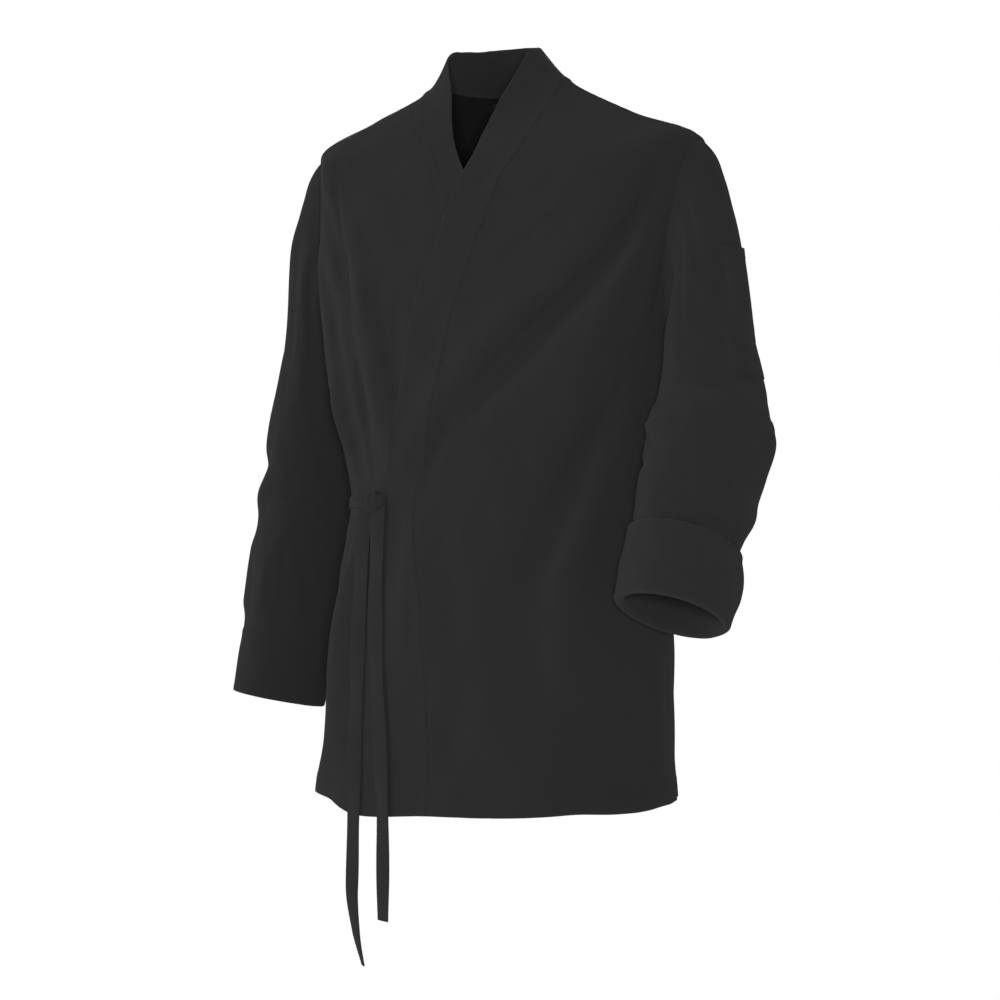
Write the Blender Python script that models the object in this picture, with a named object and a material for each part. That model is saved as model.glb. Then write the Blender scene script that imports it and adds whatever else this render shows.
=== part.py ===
"""Wrap-over chef jacket, worn form, hollow and open at neck, hem, cuffs and armholes.

The wearer's left is +X, the front is -Y and up is +Z. The origin lies at the neck's centre, at the
height where the shoulder seams meet the neck. Lengths below are millimetres and angles degrees;
the meshes are in metres. A point of the torso is named by its angle round the body (0 at the
front, 90 at the wearer's left, -90 at the right, 180 at the back) and by its level, which grows
from 0 at the hem to the top of the collar.
"""
import bpy
import numpy as np

MM = 0.001

# --- cloth and seams
PANEL_WALL = 1.6
BAND_WALL = 2.4
CUFF_WALL = 2.4
TIE_WALL = 2.0
SEAM_SETBACK = 0.22         # each edge at a seam lies this far back from the seam line
LAP_LIFT = 5.0              # how far the left front lies over the right one
LAP_FULL_ANGLE = 38         # the lift is whole from the left front's edge to here
LAP_END_ANGLE = 84          # and gone here, before the side seam
LAP_FULL_LEVEL = 718        # the fronts cross at this level
LAP_END_LEVEL = 800
TUCK = 3.0                  # how far the hidden part of the right front lies inside the form
TUCK_ANGLES = (6, 20)       # it starts and is whole this far beyond the left front's edge
TUCK_FADE = 40              # and is gone towards the crossing in this many levels
SQUARENESS = 0.03           # third harmonic that makes the torso's rings a little boxy
FOLD_TAPER = 0.3            # share of a fold's length in which it rises and dies away
TORSO_RADIUS = 150          # turns an angle into a length along the torso, for folds
SLEEVE_RADIUS = 57          # the same on a sleeve

# --- levels of the torso
ARMPIT_LEVEL = 475
BAND_TURN_LEVEL = 350       # level of the band's seam that shares a row with the armpit
SHOULDER_LEVEL = 666
NECK_LEVEL = 812
FRONT_ARMHOLE = 17          # degrees that the armhole reaches forward of the side
BACK_ARMHOLE = 24
ARMHOLE_ROUNDNESS = 0.35

# --- mesh counts
LINE_POINTS = 600           # for lines of the cut, before they are divided evenly
SIDE_ROWS = 16
ARMHOLE_ROWS = 13
FRONT_COLUMNS = 22
BACK_SHOULDER_COLUMNS = 7
NECK_COLUMNS = 6            # from one shoulder to the centre back
BAND_COLUMNS = 2
NECK_CROWDING = 1.35        # rows of the bands lie closer towards the shoulder
CAP_RINGS = 8
CAP_CALM_RINGS = 4          # no folds at the armhole's seam, whole ones this many rings on
CUFF_CALM_RUN = 30          # and the same before the cuff's seam
CAP_FULLNESS = {1: 0.4, -1: 0.75}      # how far the sleeve's head stands out at the shoulder
CAP_SIDE_FULLNESS = 0.85    # and elsewhere round the armhole
CAP_LEAN = {"side": 0.28, "top": -0.4, "under": -0.17}     # tilt of the cloth at the armhole
CAP_DROP = {"side": 1.0, "top": 1.3}    # how straight it comes down into the arm
BACK_FLARE = 1.4            # how late the back's upper rows draw in to the neck
TIE_ROWS = 14

TORSO_COLUMNS = ("level", "half_left", "half_right", "side_y", "left_z", "right_z",
                 "front_depth", "front_z", "back_depth", "back_z")
TORSO = (
    (-20, 176, 198, 0, -726, -726, 139, -738, 131, -728),
    (0, 176, 196, 0, -706, -706, 138, -718, 130, -708),
    (60, 176, 183, 0, -648, -648, 134, -657, 127, -650),
    (140, 176, 181, 0, -570, -570, 130, -576, 122, -570),
    (220, 170, 170, 0, -492, -492, 125, -497, 115, -492),
    (265, 166, 160, 0, -448, -448, 120, -451, 111, -448),
    (300, 165, 155, 0, -414, -414, 118, -415, 110, -414),
    (340, 167, 162, 0, -374, -374, 119, -375, 111, -374),
    (400, 173, 177, 1, -316, -316, 121, -317, 114, -316),
    (475, 185, 186, 2, -246, -246, 122, -250, 118, -246),
    (570, 199, 199, 6, -152, -148, 118, -186, 112, -152),
    (666, 206, 206, 10, -65, -59, 105, -121, 96, -84),
    (740, 141, 141, -1, -36, -28, 77, -79, 86, -45),
    (812, 71, 71, -12, 0, 0, 52, -38, 72, -4),
    (856, 35, 38, -23, 36, 38, 42, 14, 61, 43),
)

# level of the hem at each angle, where the cloth dips or rises
HEM_COLUMNS = ("angle", "level")
HEM = ((-180, 0), (-90, 4), (-45, 4), (-26, -6), (0, 1), (40, 0), (72, -6), (90, -4), (180, 0))

# the band's seam and its free edge, from hem to shoulder, the right one hidden below the crossing
BAND_TABLE_COLUMNS = ("seam_level", "seam_angle", "edge_level", "edge_angle")
BAND_LEFT = (
    (0, -2.5, 0, -14),
    (108, -4, 109, -17),
    (207, -6.5, 205, -20.5),
    (301, -11.5, 301, -27.5),
    (330, -8, 330, -23.5),
    (392, -3.5, 394, -16.5),
    (447, -0.3, 453, -13),
    (525, 3.3, 538, -8.5),
    (611, 7.4, 620, -3.5),
    (652, 9.3, 667, -2),
    (690, 11.2, 712, 0),
    (713, 15, 740, 2.2),
    (736, 21, 778, 5.2),
    (758, 27.5, 806, 12),
    (775, 36, 824, 24),
    (790, 51, 832, 38),
    (804, 75, 842, 64),
    (812, 90, 848, 82),
)
BAND_RIGHT = (
    (0, -5.5, 0, -18),
    (108, -6.5, 109, -21),
    (205, -8.5, 205, -24),
    (301, -9.5, 301, -27),
    (360, -5.5, 360, -23),
    (394, -3.8, 394, -21),
    (447, -2, 453, -18),
    (525, 0.5, 538, -13.5),
    (600, 3, 622, -9),
    (650, 4.6, 668, -5),
    (694, 8.6, 712, 0),
    (720, 12.5, 742, 4),
    (744, 19, 779, 10.5),
    (763, 27, 812, 20),
    (778, 38, 832, 28),
    (791, 54, 842, 42),
    (804, 76, 847, 62),
    (812, 90, 850, 78),
)
# the free edge round the back neck, by the angle of the seam below it
COLLAR_TABLE_COLUMNS = ("seam_angle", "edge_angle", "edge_level")
COLLAR_LEFT = ((90, 82, 848), (120, 116, 854), (150, 148, 856), (180, 180, 856))
COLLAR_RIGHT = ((90, 78, 850), (120, 114, 854), (150, 148, 856), (180, 180, 856))

# folds, from one place to another: an angle round the body or the arm, and a level of the
# torso or a run of the sleeve; a ridge where the height is above 0, else a valley
FOLD_COLUMNS = ("start_angle", "start", "end_angle", "end", "bow", "height",
                "start_width", "end_width")
TORSO_FOLDS = (
    (57, 655, -22, 318, -12, 9, 34, 15),
    (68, 650, -10, 340, -14, -9, 32, 16),
    (69, 620, 33, 340, 8, 6, 24, 26),
    (60, 420, 24, 215, -6, -7, 26, 30),
    (24, 235, 28, 20, 0, -6, 30, 32),
    (78, 420, 31, 195, -6, 6, 24, 26),
    (81, 170, 84, -15, 0, 5, 26, 32),
    (63, 110, 41, -20, 0, -8, 22, 36),
    (2, 95, 16, 5, 0, -4, 18, 22),
    (-55, 705, -31, 560, 4, 6, 20, 17),
    (-31, 575, -22, 345, 4, 7, 17, 12),
    (-43, 680, -31, 330, 6, -7, 20, 12),
    (-67, 600, -46, 322, 6, 6, 24, 15),
    (-56, 560, -39, 326, 0, -5, 16, 12),
    (-39, 286, -56, -10, 0, 5, 15, 30),
    (-31, 286, -40, 10, 0, -6, 13, 24),
    (-66, 270, -76, 0, 0, -6, 20, 28),
    (-8, 300, -6, 120, 6, 4, 18, 24),
    (112, 590, 168, 320, 10, 8, 30, 28),
    (126, 520, 176, 250, 8, -7, 26, 26),
    (246, 600, 205, 330, -10, 8, 28, 26),
    (258, 500, 222, 280, -8, -7, 22, 22),
    (150, 300, 144, -15, 0, 8, 24, 34),
    (174, 280, 178, -15, 0, -6, 24, 34),
    (206, 300, 212, -15, 0, 8, 24, 34),
    (236, 290, 240, -15, 0, -6, 22, 30),
    (118, 260, 112, -15, 0, -6, 24, 32),
)

# sleeves: outward distance from the middle, then y and z of the arm's line, and half widths
SLEEVE_COLUMNS = ("run", "out", "y", "z", "across", "deep")
SLEEVE_LEFT = (
    (0, 226, -6, -262, 36, 67),
    (56, 234, -15, -318, 47, 70),
    (98, 235, -27, -358, 56, 77),
    (150, 229, -43, -407, 52, 73),
    (186, 225, -55, -440, 48, 67),
    (208, 224, -63, -461, 45, 61),
    (235, 226, -73, -485, 45, 55),
    (276, 224, -89, -521, 46, 51),
)
SLEEVE_RIGHT = (
    (0, 226, 43, -262, 36, 67),
    (67, 236, 45, -329, 46, 70),
    (111, 242, 44, -373, 50, 71),
    (187, 254, 38, -449, 48, 65),
    (264, 264, 28, -526, 47, 60),
    (295, 268, 25, -556, 46, 57),
    (362, 279, 18, -622, 45, 55),
)
ARM_STEP = 12               # the arm's direction is taken over this run each way
SLEEVE_LEFT_END = 250       # run at which the sleeve meets the turned cuff
SLEEVE_RIGHT_END = 295      # run of the right cuff's seam
SLEEVE_LEFT_RINGS = 14
SLEEVE_RIGHT_RINGS = 11

SLEEVE_LEFT_FOLDS = (
    (60, 50, -40, 98, 10, 4, 14, 16),
    (75, 92, -30, 140, 8, -4, 12, 14),
    (80, 120, -55, 165, 10, 4, 13, 16),
    (100, 176, -20, 200, -6, -4, 12, 12),
    (40, -150, 50, 40, 0, 4, 16, 18),
    (10, -120, 20, 60, 0, -4, 16, 18),
    (-60, -100, -90, 60, 0, 5, 20, 18),
    (-100, 60, -150, 160, 0, 4, 18, 16),
)
SLEEVE_RIGHT_FOLDS = (
    (50, -140, 40, 130, 0, 5, 18, 16),
    (15, -100, 18, 160, 0, -5, 16, 16),
    (-30, -120, -24, 200, 0, 4, 18, 18),
    (70, 110, -30, 140, 6, -4, 12, 14),
    (80, 140, -20, 172, 6, 4, 12, 14),
    (-90, -40, -100, 120, 0, 4, 20, 20),
    (35, 190, 30, 290, 0, 4, 14, 16),
    (-140, 20, -130, 260, 0, 4, 18, 18),
)

# --- cuffs, pocket, ties, loop
CUFF_RIGHT_ROWS = 4
CUFF_LEFT_INNER_ROWS = 2
CUFF_LEFT_BENDS = 4
CUFF_LEFT_OUTER_ROWS = 7
CUFF_LEFT_DEPTH = 74
CUFF_LEFT_FOLD = 4          # radius of the fold at the mouth
CUFF_LEFT_FLARE = -2.0      # how much more it stands off at its upper edge
CUFF_LEFT_BULGE = 4.0       # and half way up
POCKET_COLUMNS = (4, -3)    # front and back edge, counted in the sleeve's columns
POCKET_TOP_Z = -166
POCKET_BOTTOM_Z = -298
POCKET_WALL = 1.2
POCKET_GAP = 0.9
POCKET_ROWS = 8
TIE_WIDTH = 18
TIE_WAIST_LEVEL = 300
TIE_WAIST_ANGLES = (-87, -36.6)
TIE_RISE_ANGLE = -58        # from here the tie leaves the cloth for the knot
TIE_RISE = 9
TIE_GAP = 1.3               # between a tie and the cloth it lies on
KNOT_CENTRE_ANGLE = -29.5
KNOT_LEVEL = 300
KNOT_HALF = (18, 8, 13.5)    # across, out of the cloth, along
KNOT_STAND_OFF = 14.0       # of its middle from the torso's form
KNOT_RINGS = 8
KNOT_SECTORS = 16
KNOT_WRAP = 0.12            # height of the turns of cloth round it, as a share of its size
KNOT_TWIST = 2.5            # how far they slant, in radians
KNOT_BLUNTNESS = 0.8
# tails: z and x of the middle, distance in front of the torso's form, and twist
TAIL_COLUMNS = ("z", "x", "stand_off", "turn")
TAIL_LONG = (
    (-428.2, -95, 12.5, 0),
    (-450, -98, 8.5, 0),
    (-480, -100, 6.5, 0),
    (-565, -101, 6, 0),
    (-640, -100, 6, 0),
    (-718, -97, 6, 4),
    (-770, -98, 6, 20),
    (-820, -94, 5.5, 44),
    (-866, -84, 4.5, 76),
)
TAIL_SHORT = (
    (-427.2, -73, 14, 0),
    (-450, -75, 11, 0),
    (-480, -75, 9.3, 0),
    (-565, -71, 9, 0),
    (-640, -64, 9, 0),
    (-718, -57, 9, 4),
    (-770, -56, 9, 16),
    (-820, -55, 9, 24),
)
TAIL_CALM = 2               # rows on each side over which a tail evens out the folds below it
TAIL_LONG_FACING = -12      # angles round the body that the tails face
TAIL_SHORT_FACING = -12
LOOP_ANGLES = (150, 210)
LOOP_COLUMNS = 5
LOOP_LEVELS = (799, 806)
LOOP_OFFSET = -1.9
LOOP_WALL = 1.0

CHARCOAL = (0.025, 0.025, 0.026, 1)
CLOTH_ROUGHNESS = 0.85
SHARP_ANGLE = 50


# --- curves and tables

def smooth(xs, ys, x):
    """Cubic through the rows (xs, ys) that never overshoots, read at x."""
    xs, ys = np.asarray(xs, float), np.asarray(ys, float)
    step = np.diff(xs)
    slope = np.diff(ys) / step
    tangent = np.zeros(len(xs))
    same = slope[1:] * slope[:-1] > 0
    total = np.where(same, slope[1:] + slope[:-1], 1)
    tangent[1:-1] = np.where(same, 2 * slope[1:] * slope[:-1] / total, 0)
    tangent[0], tangent[-1] = slope[0], slope[-1]
    x = np.clip(x, xs[0], xs[-1])
    i = np.clip(np.searchsorted(xs, x) - 1, 0, len(step) - 1)
    t = (x - xs[i]) / step[i]
    return (ys[i] * (1 + 2 * t) * (1 - t) ** 2
            + tangent[i] * step[i] * t * (1 - t) ** 2
            + ys[i + 1] * t * t * (3 - 2 * t)
            + tangent[i + 1] * step[i] * t * t * (t - 1))


def read(table, columns, name, at):
    """The named column of a table at values of its first column."""
    rows = np.array(table, float)
    return smooth(rows[:, 0], rows[:, columns.index(name)], at)


def ease(value):
    """0 below 0, 1 above 1 and smooth between."""
    value = np.clip(value, 0, 1)
    return value * value * (3 - 2 * value)


def unit(vectors):
    return vectors / np.linalg.norm(vectors, axis=-1, keepdims=True)


def folds(table, angle, along, radius):
    """Height that the folds of a table add at an angle and a distance along the cloth."""
    total = np.zeros(np.broadcast(angle, along).shape)
    for row in table:
        fold = dict(zip(FOLD_COLUMNS, row))
        turn = (np.asarray(angle, float) - fold["start_angle"] + 180) % 360 - 180
        across = np.radians(turn) * radius
        up = along - fold["start"]
        line = np.array([np.radians(fold["end_angle"] - fold["start_angle"]) * radius,
                         fold["end"] - fold["start"]])
        length = np.linalg.norm(line)
        line = line / length
        t = (across * line[0] + up * line[1]) / length
        inside = np.clip(t, 0, 1)
        side = across * line[1] - up * line[0] - fold["bow"] * np.sin(np.pi * inside)
        width = fold["start_width"] + (fold["end_width"] - fold["start_width"]) * inside
        taper = ease((t + FOLD_TAPER / 5) / FOLD_TAPER) * ease((1 + FOLD_TAPER / 5 - t) / FOLD_TAPER)
        total = total + fold["height"] * taper * np.exp(-(side / width) ** 2)
    return total


# --- the torso's form

def torso_base(angle, level):
    """Points of the smooth torso, without folds."""
    angle, level = np.broadcast_arrays(np.asarray(angle, float), np.asarray(level, float))
    size = {name: read(TORSO, TORSO_COLUMNS, name, level) for name in TORSO_COLUMNS[1:]}
    turn = np.radians(angle)
    across = (np.sin(turn) + SQUARENESS * np.sin(3 * turn)) / (1 - SQUARENESS)
    forward = (np.cos(turn) - SQUARENESS * np.cos(3 * turn)) / (1 - SQUARENESS)
    half = np.where(across >= 0, size["half_left"], size["half_right"])
    depth = np.where(forward >= 0, size["front_depth"], size["back_depth"])
    side_z = np.where(across >= 0, size["left_z"], size["right_z"])
    rise = np.where(forward >= 0, size["front_z"], size["back_z"]) - side_z
    return np.stack([half * across, size["side_y"] - depth * forward,
                     side_z + rise * np.cos(turn) ** 2], -1)


def normals_of(surface, angle, level):
    """Outward normals of a surface given as a function of angle and level."""
    turn, climb = 0.6, 2.0
    level = np.clip(level, TORSO[0][0] + climb, TORSO[-1][0] - climb)
    around = surface(angle + turn, level) - surface(angle - turn, level)
    up = surface(angle, level + climb) - surface(angle, level - climb)
    return unit(np.cross(around, up))


def torso(angle, level):
    """Points of the torso's cloth, folds and all."""
    height = folds(TORSO_FOLDS, angle, level, TORSO_RADIUS)
    return torso_base(angle, level) + height[..., None] * normals_of(torso_base, angle, level)


def hem_level(angle):
    turned = (np.asarray(angle, float) + 180) % 360 - 180
    return read(HEM, HEM_COLUMNS, "level", turned)


def lap_lift(angle, level):
    """How far the left front and its band stand off the form, where they lie over the right."""
    turned = (np.asarray(angle, float) + 180) % 360 - 180
    round_it = 1 - ease((turned - LAP_FULL_ANGLE) / (LAP_END_ANGLE - LAP_FULL_ANGLE))
    up = 1 - ease((level - LAP_FULL_LEVEL) / (LAP_END_LEVEL - LAP_FULL_LEVEL))
    return LAP_LIFT * round_it * up


def tuck(angle, level):
    """How far the hidden part of the right front and its band lie inside the form."""
    turned = (np.asarray(angle, float) + 180) % 360 - 180
    beyond = turned - read(BAND_LEFT, BAND_TABLE_COLUMNS, "edge_angle", level)
    hidden = ease((beyond - TUCK_ANGLES[0]) / (TUCK_ANGLES[1] - TUCK_ANGLES[0]))
    return -TUCK * hidden * ease((LAP_FULL_LEVEL - level) / TUCK_FADE)


# --- lines of the cut, as pairs of angle and level

def evenly(angle, level, count, crowding=1.0):
    """Count + 1 points along a line of the cut, closer at its end where crowding is above 1."""
    points = torso_base(angle, level)
    steps = np.linalg.norm(np.diff(points, axis=0), axis=1)
    run = np.concatenate([[0], np.cumsum(steps)])
    wanted = run[-1] * (1 - (1 - np.linspace(0, 1, count + 1)) ** crowding)
    return np.interp(wanted, run, angle), np.interp(wanted, run, level)


def armhole(reach):
    """Angles from the side and levels of an armhole's edge, from armpit to shoulder."""
    t = np.linspace(0, 1, LINE_POINTS)
    angle = reach * np.sin(np.pi * t) ** ARMHOLE_ROUNDNESS
    level = ARMPIT_LEVEL + (SHOULDER_LEVEL - ARMPIT_LEVEL) * t
    return evenly(90 + angle, level, ARMHOLE_ROWS)


def side_line(side, reach):
    """Side seam and armhole, as rows of angle and level from hem to shoulder."""
    low = np.linspace(hem_level(90 * side), ARMPIT_LEVEL, SIDE_ROWS + 1)
    angle, level = armhole(reach)
    return (np.concatenate([np.full(SIDE_ROWS, 90.0), angle]),
            np.concatenate([low[:-1], level]))


def band_lines(side):
    """Rows of the band from hem to shoulder: seam angle, seam level, edge angle, edge level."""
    table = BAND_LEFT if side > 0 else BAND_RIGHT
    columns = BAND_TABLE_COLUMNS
    low = np.linspace(0, BAND_TURN_LEVEL, SIDE_ROWS + 1)
    dense = np.linspace(BAND_TURN_LEVEL, NECK_LEVEL, LINE_POINTS)
    angle = read(table, columns, "seam_angle", dense)
    level = np.concatenate([low[:-1], evenly(angle, dense, ARMHOLE_ROWS, NECK_CROWDING)[1]])
    rows = {name: read(table, columns, name, level) for name in columns[1:]}
    return side * rows["seam_angle"], level, side * rows["edge_angle"], rows["edge_level"]


def collar_lines(side):
    """The band's rows from the shoulder to the centre back."""
    table = COLLAR_LEFT if side > 0 else COLLAR_RIGHT
    seam = np.linspace(90, 180, NECK_COLUMNS + 1)
    edge = read(table, COLLAR_TABLE_COLUMNS, "edge_angle", seam)
    level = read(table, COLLAR_TABLE_COLUMNS, "edge_level", seam)
    return side * seam, np.full(len(seam), float(NECK_LEVEL)), side * edge, level


# --- making solids

def cloth_material(name):
    material = bpy.data.materials.new(name)
    material.use_nodes = True
    shader = material.node_tree.nodes["Principled BSDF"]
    shader.inputs["Base Color"].default_value = CHARCOAL
    shader.inputs["Roughness"].default_value = CLOTH_ROUGHNESS
    shader.inputs["Metallic"].default_value = 0
    material.diffuse_color = CHARCOAL
    return material


def add_solid(name, points, triangles):
    """One named object from points in millimetres."""
    mesh = bpy.data.meshes.new(name)
    mesh.from_pydata((np.asarray(points) * MM).tolist(), [], triangles)
    mesh.shade_smooth()
    mesh.set_sharp_from_angle(angle=np.radians(SHARP_ANGLE))
    mesh.materials.append(cloth_material(name + "_cloth"))
    solid = bpy.data.objects.new(name, mesh)
    bpy.context.scene.collection.objects.link(solid)
    return solid


def set_back(points, edges):
    """Draw the named edges of a grid of points back from their seam lines."""
    points = points.copy()
    ends = {"first_row": (0, 1, 0), "last_row": (-1, -2, 0),
            "first_column": (0, 1, 1), "last_column": (-1, -2, 1)}
    for edge in edges:
        outer, inner, axis = ends[edge]
        grid = points if axis == 0 else points.swapaxes(0, 1)
        grid[outer] += SEAM_SETBACK * unit(grid[inner] - grid[outer])
    return points


def wall(name, middle, normal, thickness, seams=(), ring=False, centres=None):
    """Solid wall round a grid of middle points; a ring closes on itself along its columns.

    Each cell is split along the diagonal that lies nearer to its true centre, where centres
    are given, and else along the shorter one.
    """
    half = np.asarray(thickness)[..., None] / 2 * normal
    outer = set_back(middle + half, seams)
    inner = set_back(middle - half, seams)
    rows, columns = middle.shape[:2]
    count = rows * columns
    points = np.concatenate([outer.reshape(-1, 3), inner.reshape(-1, 3)])

    def at(row, column, layer):
        return layer * count + row * columns + column % columns

    triangles = []
    last = columns if ring else columns - 1
    for row in range(rows - 1):
        for column in range(last):
            corners = [(row, column), (row, column + 1), (row + 1, column + 1), (row + 1, column)]
            place = [middle[r, c % columns] for r, c in corners]
            if centres is None:
                first = np.linalg.norm(place[0] - place[2])
                second = np.linalg.norm(place[1] - place[3])
            else:
                first = np.linalg.norm((place[0] + place[2]) / 2 - centres[row, column])
                second = np.linalg.norm((place[1] + place[3]) / 2 - centres[row, column])
            if first <= second:
                split = ((0, 1, 2), (0, 2, 3))
            else:
                split = ((0, 1, 3), (1, 2, 3))
            for corner in split:
                a, b, c = (corners[k] for k in corner)
                triangles.append((at(*a, 0), at(*b, 0), at(*c, 0)))
                triangles.append((at(*c, 1), at(*b, 1), at(*a, 1)))

    def rim(line, forwards):
        for a, b in zip(line[:-1], line[1:]):
            if not forwards:
                a, b = b, a
            triangles.append((at(*b, 0), at(*a, 0), at(*a, 1)))
            triangles.append((at(*b, 0), at(*a, 1), at(*b, 1)))

    rim([(0, c) for c in range(last + 1)], True)
    rim([(rows - 1, c) for c in range(last + 1)], False)
    if not ring:
        rim([(r, 0) for r in range(rows)], False)
        rim([(r, columns - 1) for r in range(rows)], True)
    return add_solid(name, points, triangles)


def torso_wall(name, angle, level, thickness, lift=0.0, seams=()):
    """A panel of the torso from a grid of angles and levels."""
    normal = normals_of(torso, angle, level)
    middle = torso(angle, level) + (lift + np.zeros(angle.shape))[..., None] * normal
    cell_angle, cell_level, cell_lift = (
        (grid[:-1, :-1] + grid[1:, :-1] + grid[:-1, 1:] + grid[1:, 1:]) / 4
        for grid in (angle, level, lift + np.zeros(angle.shape)))
    centres = (torso(cell_angle, cell_level)
               + cell_lift[..., None] * normals_of(torso, cell_angle, cell_level))
    thickness = np.full(angle.shape, float(thickness))
    return wall(name, middle, normal, thickness, seams, centres=centres)


# --- fronts, back and bands

def make_front(side):
    """A front panel, from its band's seam to the side seam, armhole and shoulder."""
    seam_angle, seam_level, _, _ = band_lines(side)
    edge_angle, edge_level = side_line(side, -FRONT_ARMHOLE)
    share = np.linspace(0, 1, FRONT_COLUMNS + 1)
    angle = seam_angle[:, None] * (1 - share) + side * edge_angle[:, None] * share
    level = seam_level[:, None] * (1 - share) + edge_level[:, None] * share
    fade = 1 - np.linspace(0, 1, SIDE_ROWS + 1)[:, None]
    straight = level[0].copy()
    level[:SIDE_ROWS + 1] += fade * (hem_level(angle[0]) - straight)
    seams = ["first_column", "last_column", "last_row"]
    if side < 0:
        angle, level = angle[:, ::-1], level[:, ::-1]
        return torso_wall("front_right", angle, level, PANEL_WALL, tuck(angle, level), seams)
    lift = lap_lift(angle, level)
    return torso_wall("front_left", angle, level, PANEL_WALL, lift, seams)


def make_back():
    """The back panel, from side seam to side seam and up to the shoulders and the neck."""
    edge_angle, edge_level = side_line(1, BACK_ARMHOLE)
    columns = 2 * (BACK_SHOULDER_COLUMNS + NECK_COLUMNS)
    share = np.linspace(0, 1, columns + 1)
    shoulder = BACK_SHOULDER_COLUMNS / columns
    neck_share = np.clip((share - shoulder) / (1 - 2 * shoulder), 0, 1)
    climb = np.clip(np.minimum(share, 1 - share) / shoulder, 0, 1)
    rise = np.concatenate([np.zeros(SIDE_ROWS), np.linspace(0, 1, ARMHOLE_ROWS + 1) ** BACK_FLARE])
    rise = rise[:, None]
    mixed = (1 - rise) * share + rise * neck_share
    first, last = edge_angle[:, None], 360 - edge_angle[:, None]
    angle = first + (last - first) * mixed
    level = edge_level[:, None] + rise * climb * (NECK_LEVEL - SHOULDER_LEVEL)
    fade = 1 - np.linspace(0, 1, SIDE_ROWS + 1)[:, None]
    level[:SIDE_ROWS + 1] += fade * (hem_level(angle[0]) - hem_level(90.0))
    seams = ["first_column", "last_column", "last_row"]
    return torso_wall("back", angle, level, PANEL_WALL, 0, seams)


def make_band(side):
    """The folded band, up one front's edge and round the neck to the centre back."""
    front, collar = band_lines(side), collar_lines(side)
    seam_angle, seam_level, edge_angle, edge_level = (
        np.concatenate([low, high[1:]]) for low, high in zip(front, collar))
    share = np.linspace(0, 1, BAND_COLUMNS + 1)
    angle = edge_angle[:, None] * (1 - share) + seam_angle[:, None] * share
    level = edge_level[:, None] * (1 - share) + seam_level[:, None] * share
    level[0] = hem_level(angle[0])
    seams = ["last_row", "last_column"]
    if side < 0:
        seams = ["last_row", "first_column"]
        angle, level = angle[:, ::-1], level[:, ::-1]
        return torso_wall("band_right", angle, level, BAND_WALL, tuck(angle, level), seams)
    lift = lap_lift(angle, level)
    return torso_wall("band_left", angle, level, BAND_WALL, lift, seams)


# --- sleeves

def armhole_loop(side):
    """Angles and levels round the armhole: shoulder, front, armpit, back."""
    front_angle, front_level = armhole(-FRONT_ARMHOLE)
    back_angle, back_level = armhole(BACK_ARMHOLE)
    angle = np.concatenate([front_angle[::-1], back_angle[1:-1]])
    level = np.concatenate([front_level[::-1], back_level[1:-1]])
    return side * angle, level


def arm_frame(side, run):
    """Middle, outward and forward directions and half widths of a sleeve at a run."""
    table = SLEEVE_LEFT if side > 0 else SLEEVE_RIGHT
    run = np.asarray(run, float)
    size = {name: read(table, SLEEVE_COLUMNS, name, run) for name in SLEEVE_COLUMNS[1:]}
    middle = np.stack([side * size["out"], size["y"], size["z"]], -1)
    ahead = [read(table, SLEEVE_COLUMNS, name, run + ARM_STEP) for name in ("out", "y", "z")]
    behind = [read(table, SLEEVE_COLUMNS, name, run - ARM_STEP) for name in ("out", "y", "z")]
    down = np.stack([side * (ahead[0] - behind[0]), ahead[1] - behind[1],
                     ahead[2] - behind[2]], -1)
    down = unit(down)
    outward = np.zeros(down.shape)
    outward[..., 0] = side
    outward = unit(outward - (outward * down).sum(-1, keepdims=True) * down)
    forward = side * np.cross(outward, down)
    forward = np.where(forward[..., 1:2] > 0, -forward, forward)
    return middle, outward, forward, down, size["across"], size["deep"]


def arm_ring(side, run, turn, stand_off=0.0):
    """Points of a sleeve's smooth tube at runs and angles round the arm."""
    middle, outward, forward, _, across, deep = arm_frame(side, run)
    turn = np.radians(turn)
    return (middle + ((across + stand_off) * np.cos(turn))[..., None] * outward
            + ((deep + stand_off) * np.sin(turn))[..., None] * forward)


def cap_lines(side):
    """Rows of points from the armhole down to the first whole ring of the sleeve."""
    angle, level = armhole_loop(side)
    start = torso(angle, level)
    normal = normals_of(torso, angle, level)
    turn = np.linspace(0, 360, 2 * ARMHOLE_ROWS, endpoint=False)
    end = arm_ring(side, np.zeros(len(turn)), turn)
    down = arm_frame(side, np.zeros(len(turn)))[3]
    reach = np.linalg.norm(end - start, axis=1, keepdims=True)
    centre = start.mean(axis=0)
    radial = unit((start - centre) * np.array([0, 1, 1]))
    top = np.clip(np.cos(np.radians(turn)), 0, 1)[:, None]
    under = np.clip(-np.cos(np.radians(turn)), 0, 1)[:, None]
    lean = (CAP_LEAN["side"] + (CAP_LEAN["top"] - CAP_LEAN["side"]) * top
            + (CAP_LEAN["under"] - CAP_LEAN["side"]) * under)
    away = unit(np.array([float(side), 0, 0]) + lean * radial)
    fullness = CAP_SIDE_FULLNESS + (CAP_FULLNESS[side] - CAP_SIDE_FULLNESS) * top
    first = away * reach * fullness
    last = down * reach * (CAP_DROP["side"] + (CAP_DROP["top"] - CAP_DROP["side"]) * top)
    t = np.linspace(0, 1, CAP_RINGS + 1)[:, None, None]
    rows = (start * (1 + 2 * t) * (1 - t) ** 2 + first * t * (1 - t) ** 2
            + end * t * t * (3 - 2 * t) + last * t * t * (t - 1))
    return rows, normal, away, reach[:, 0]


def grid_normals(rows, side):
    """Outward normals of a closed grid of rings, worked out from their neighbours."""
    around = np.roll(rows, -1, axis=1) - np.roll(rows, 1, axis=1)
    along = np.gradient(rows, axis=0)
    return side * unit(np.cross(around, along))


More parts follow.
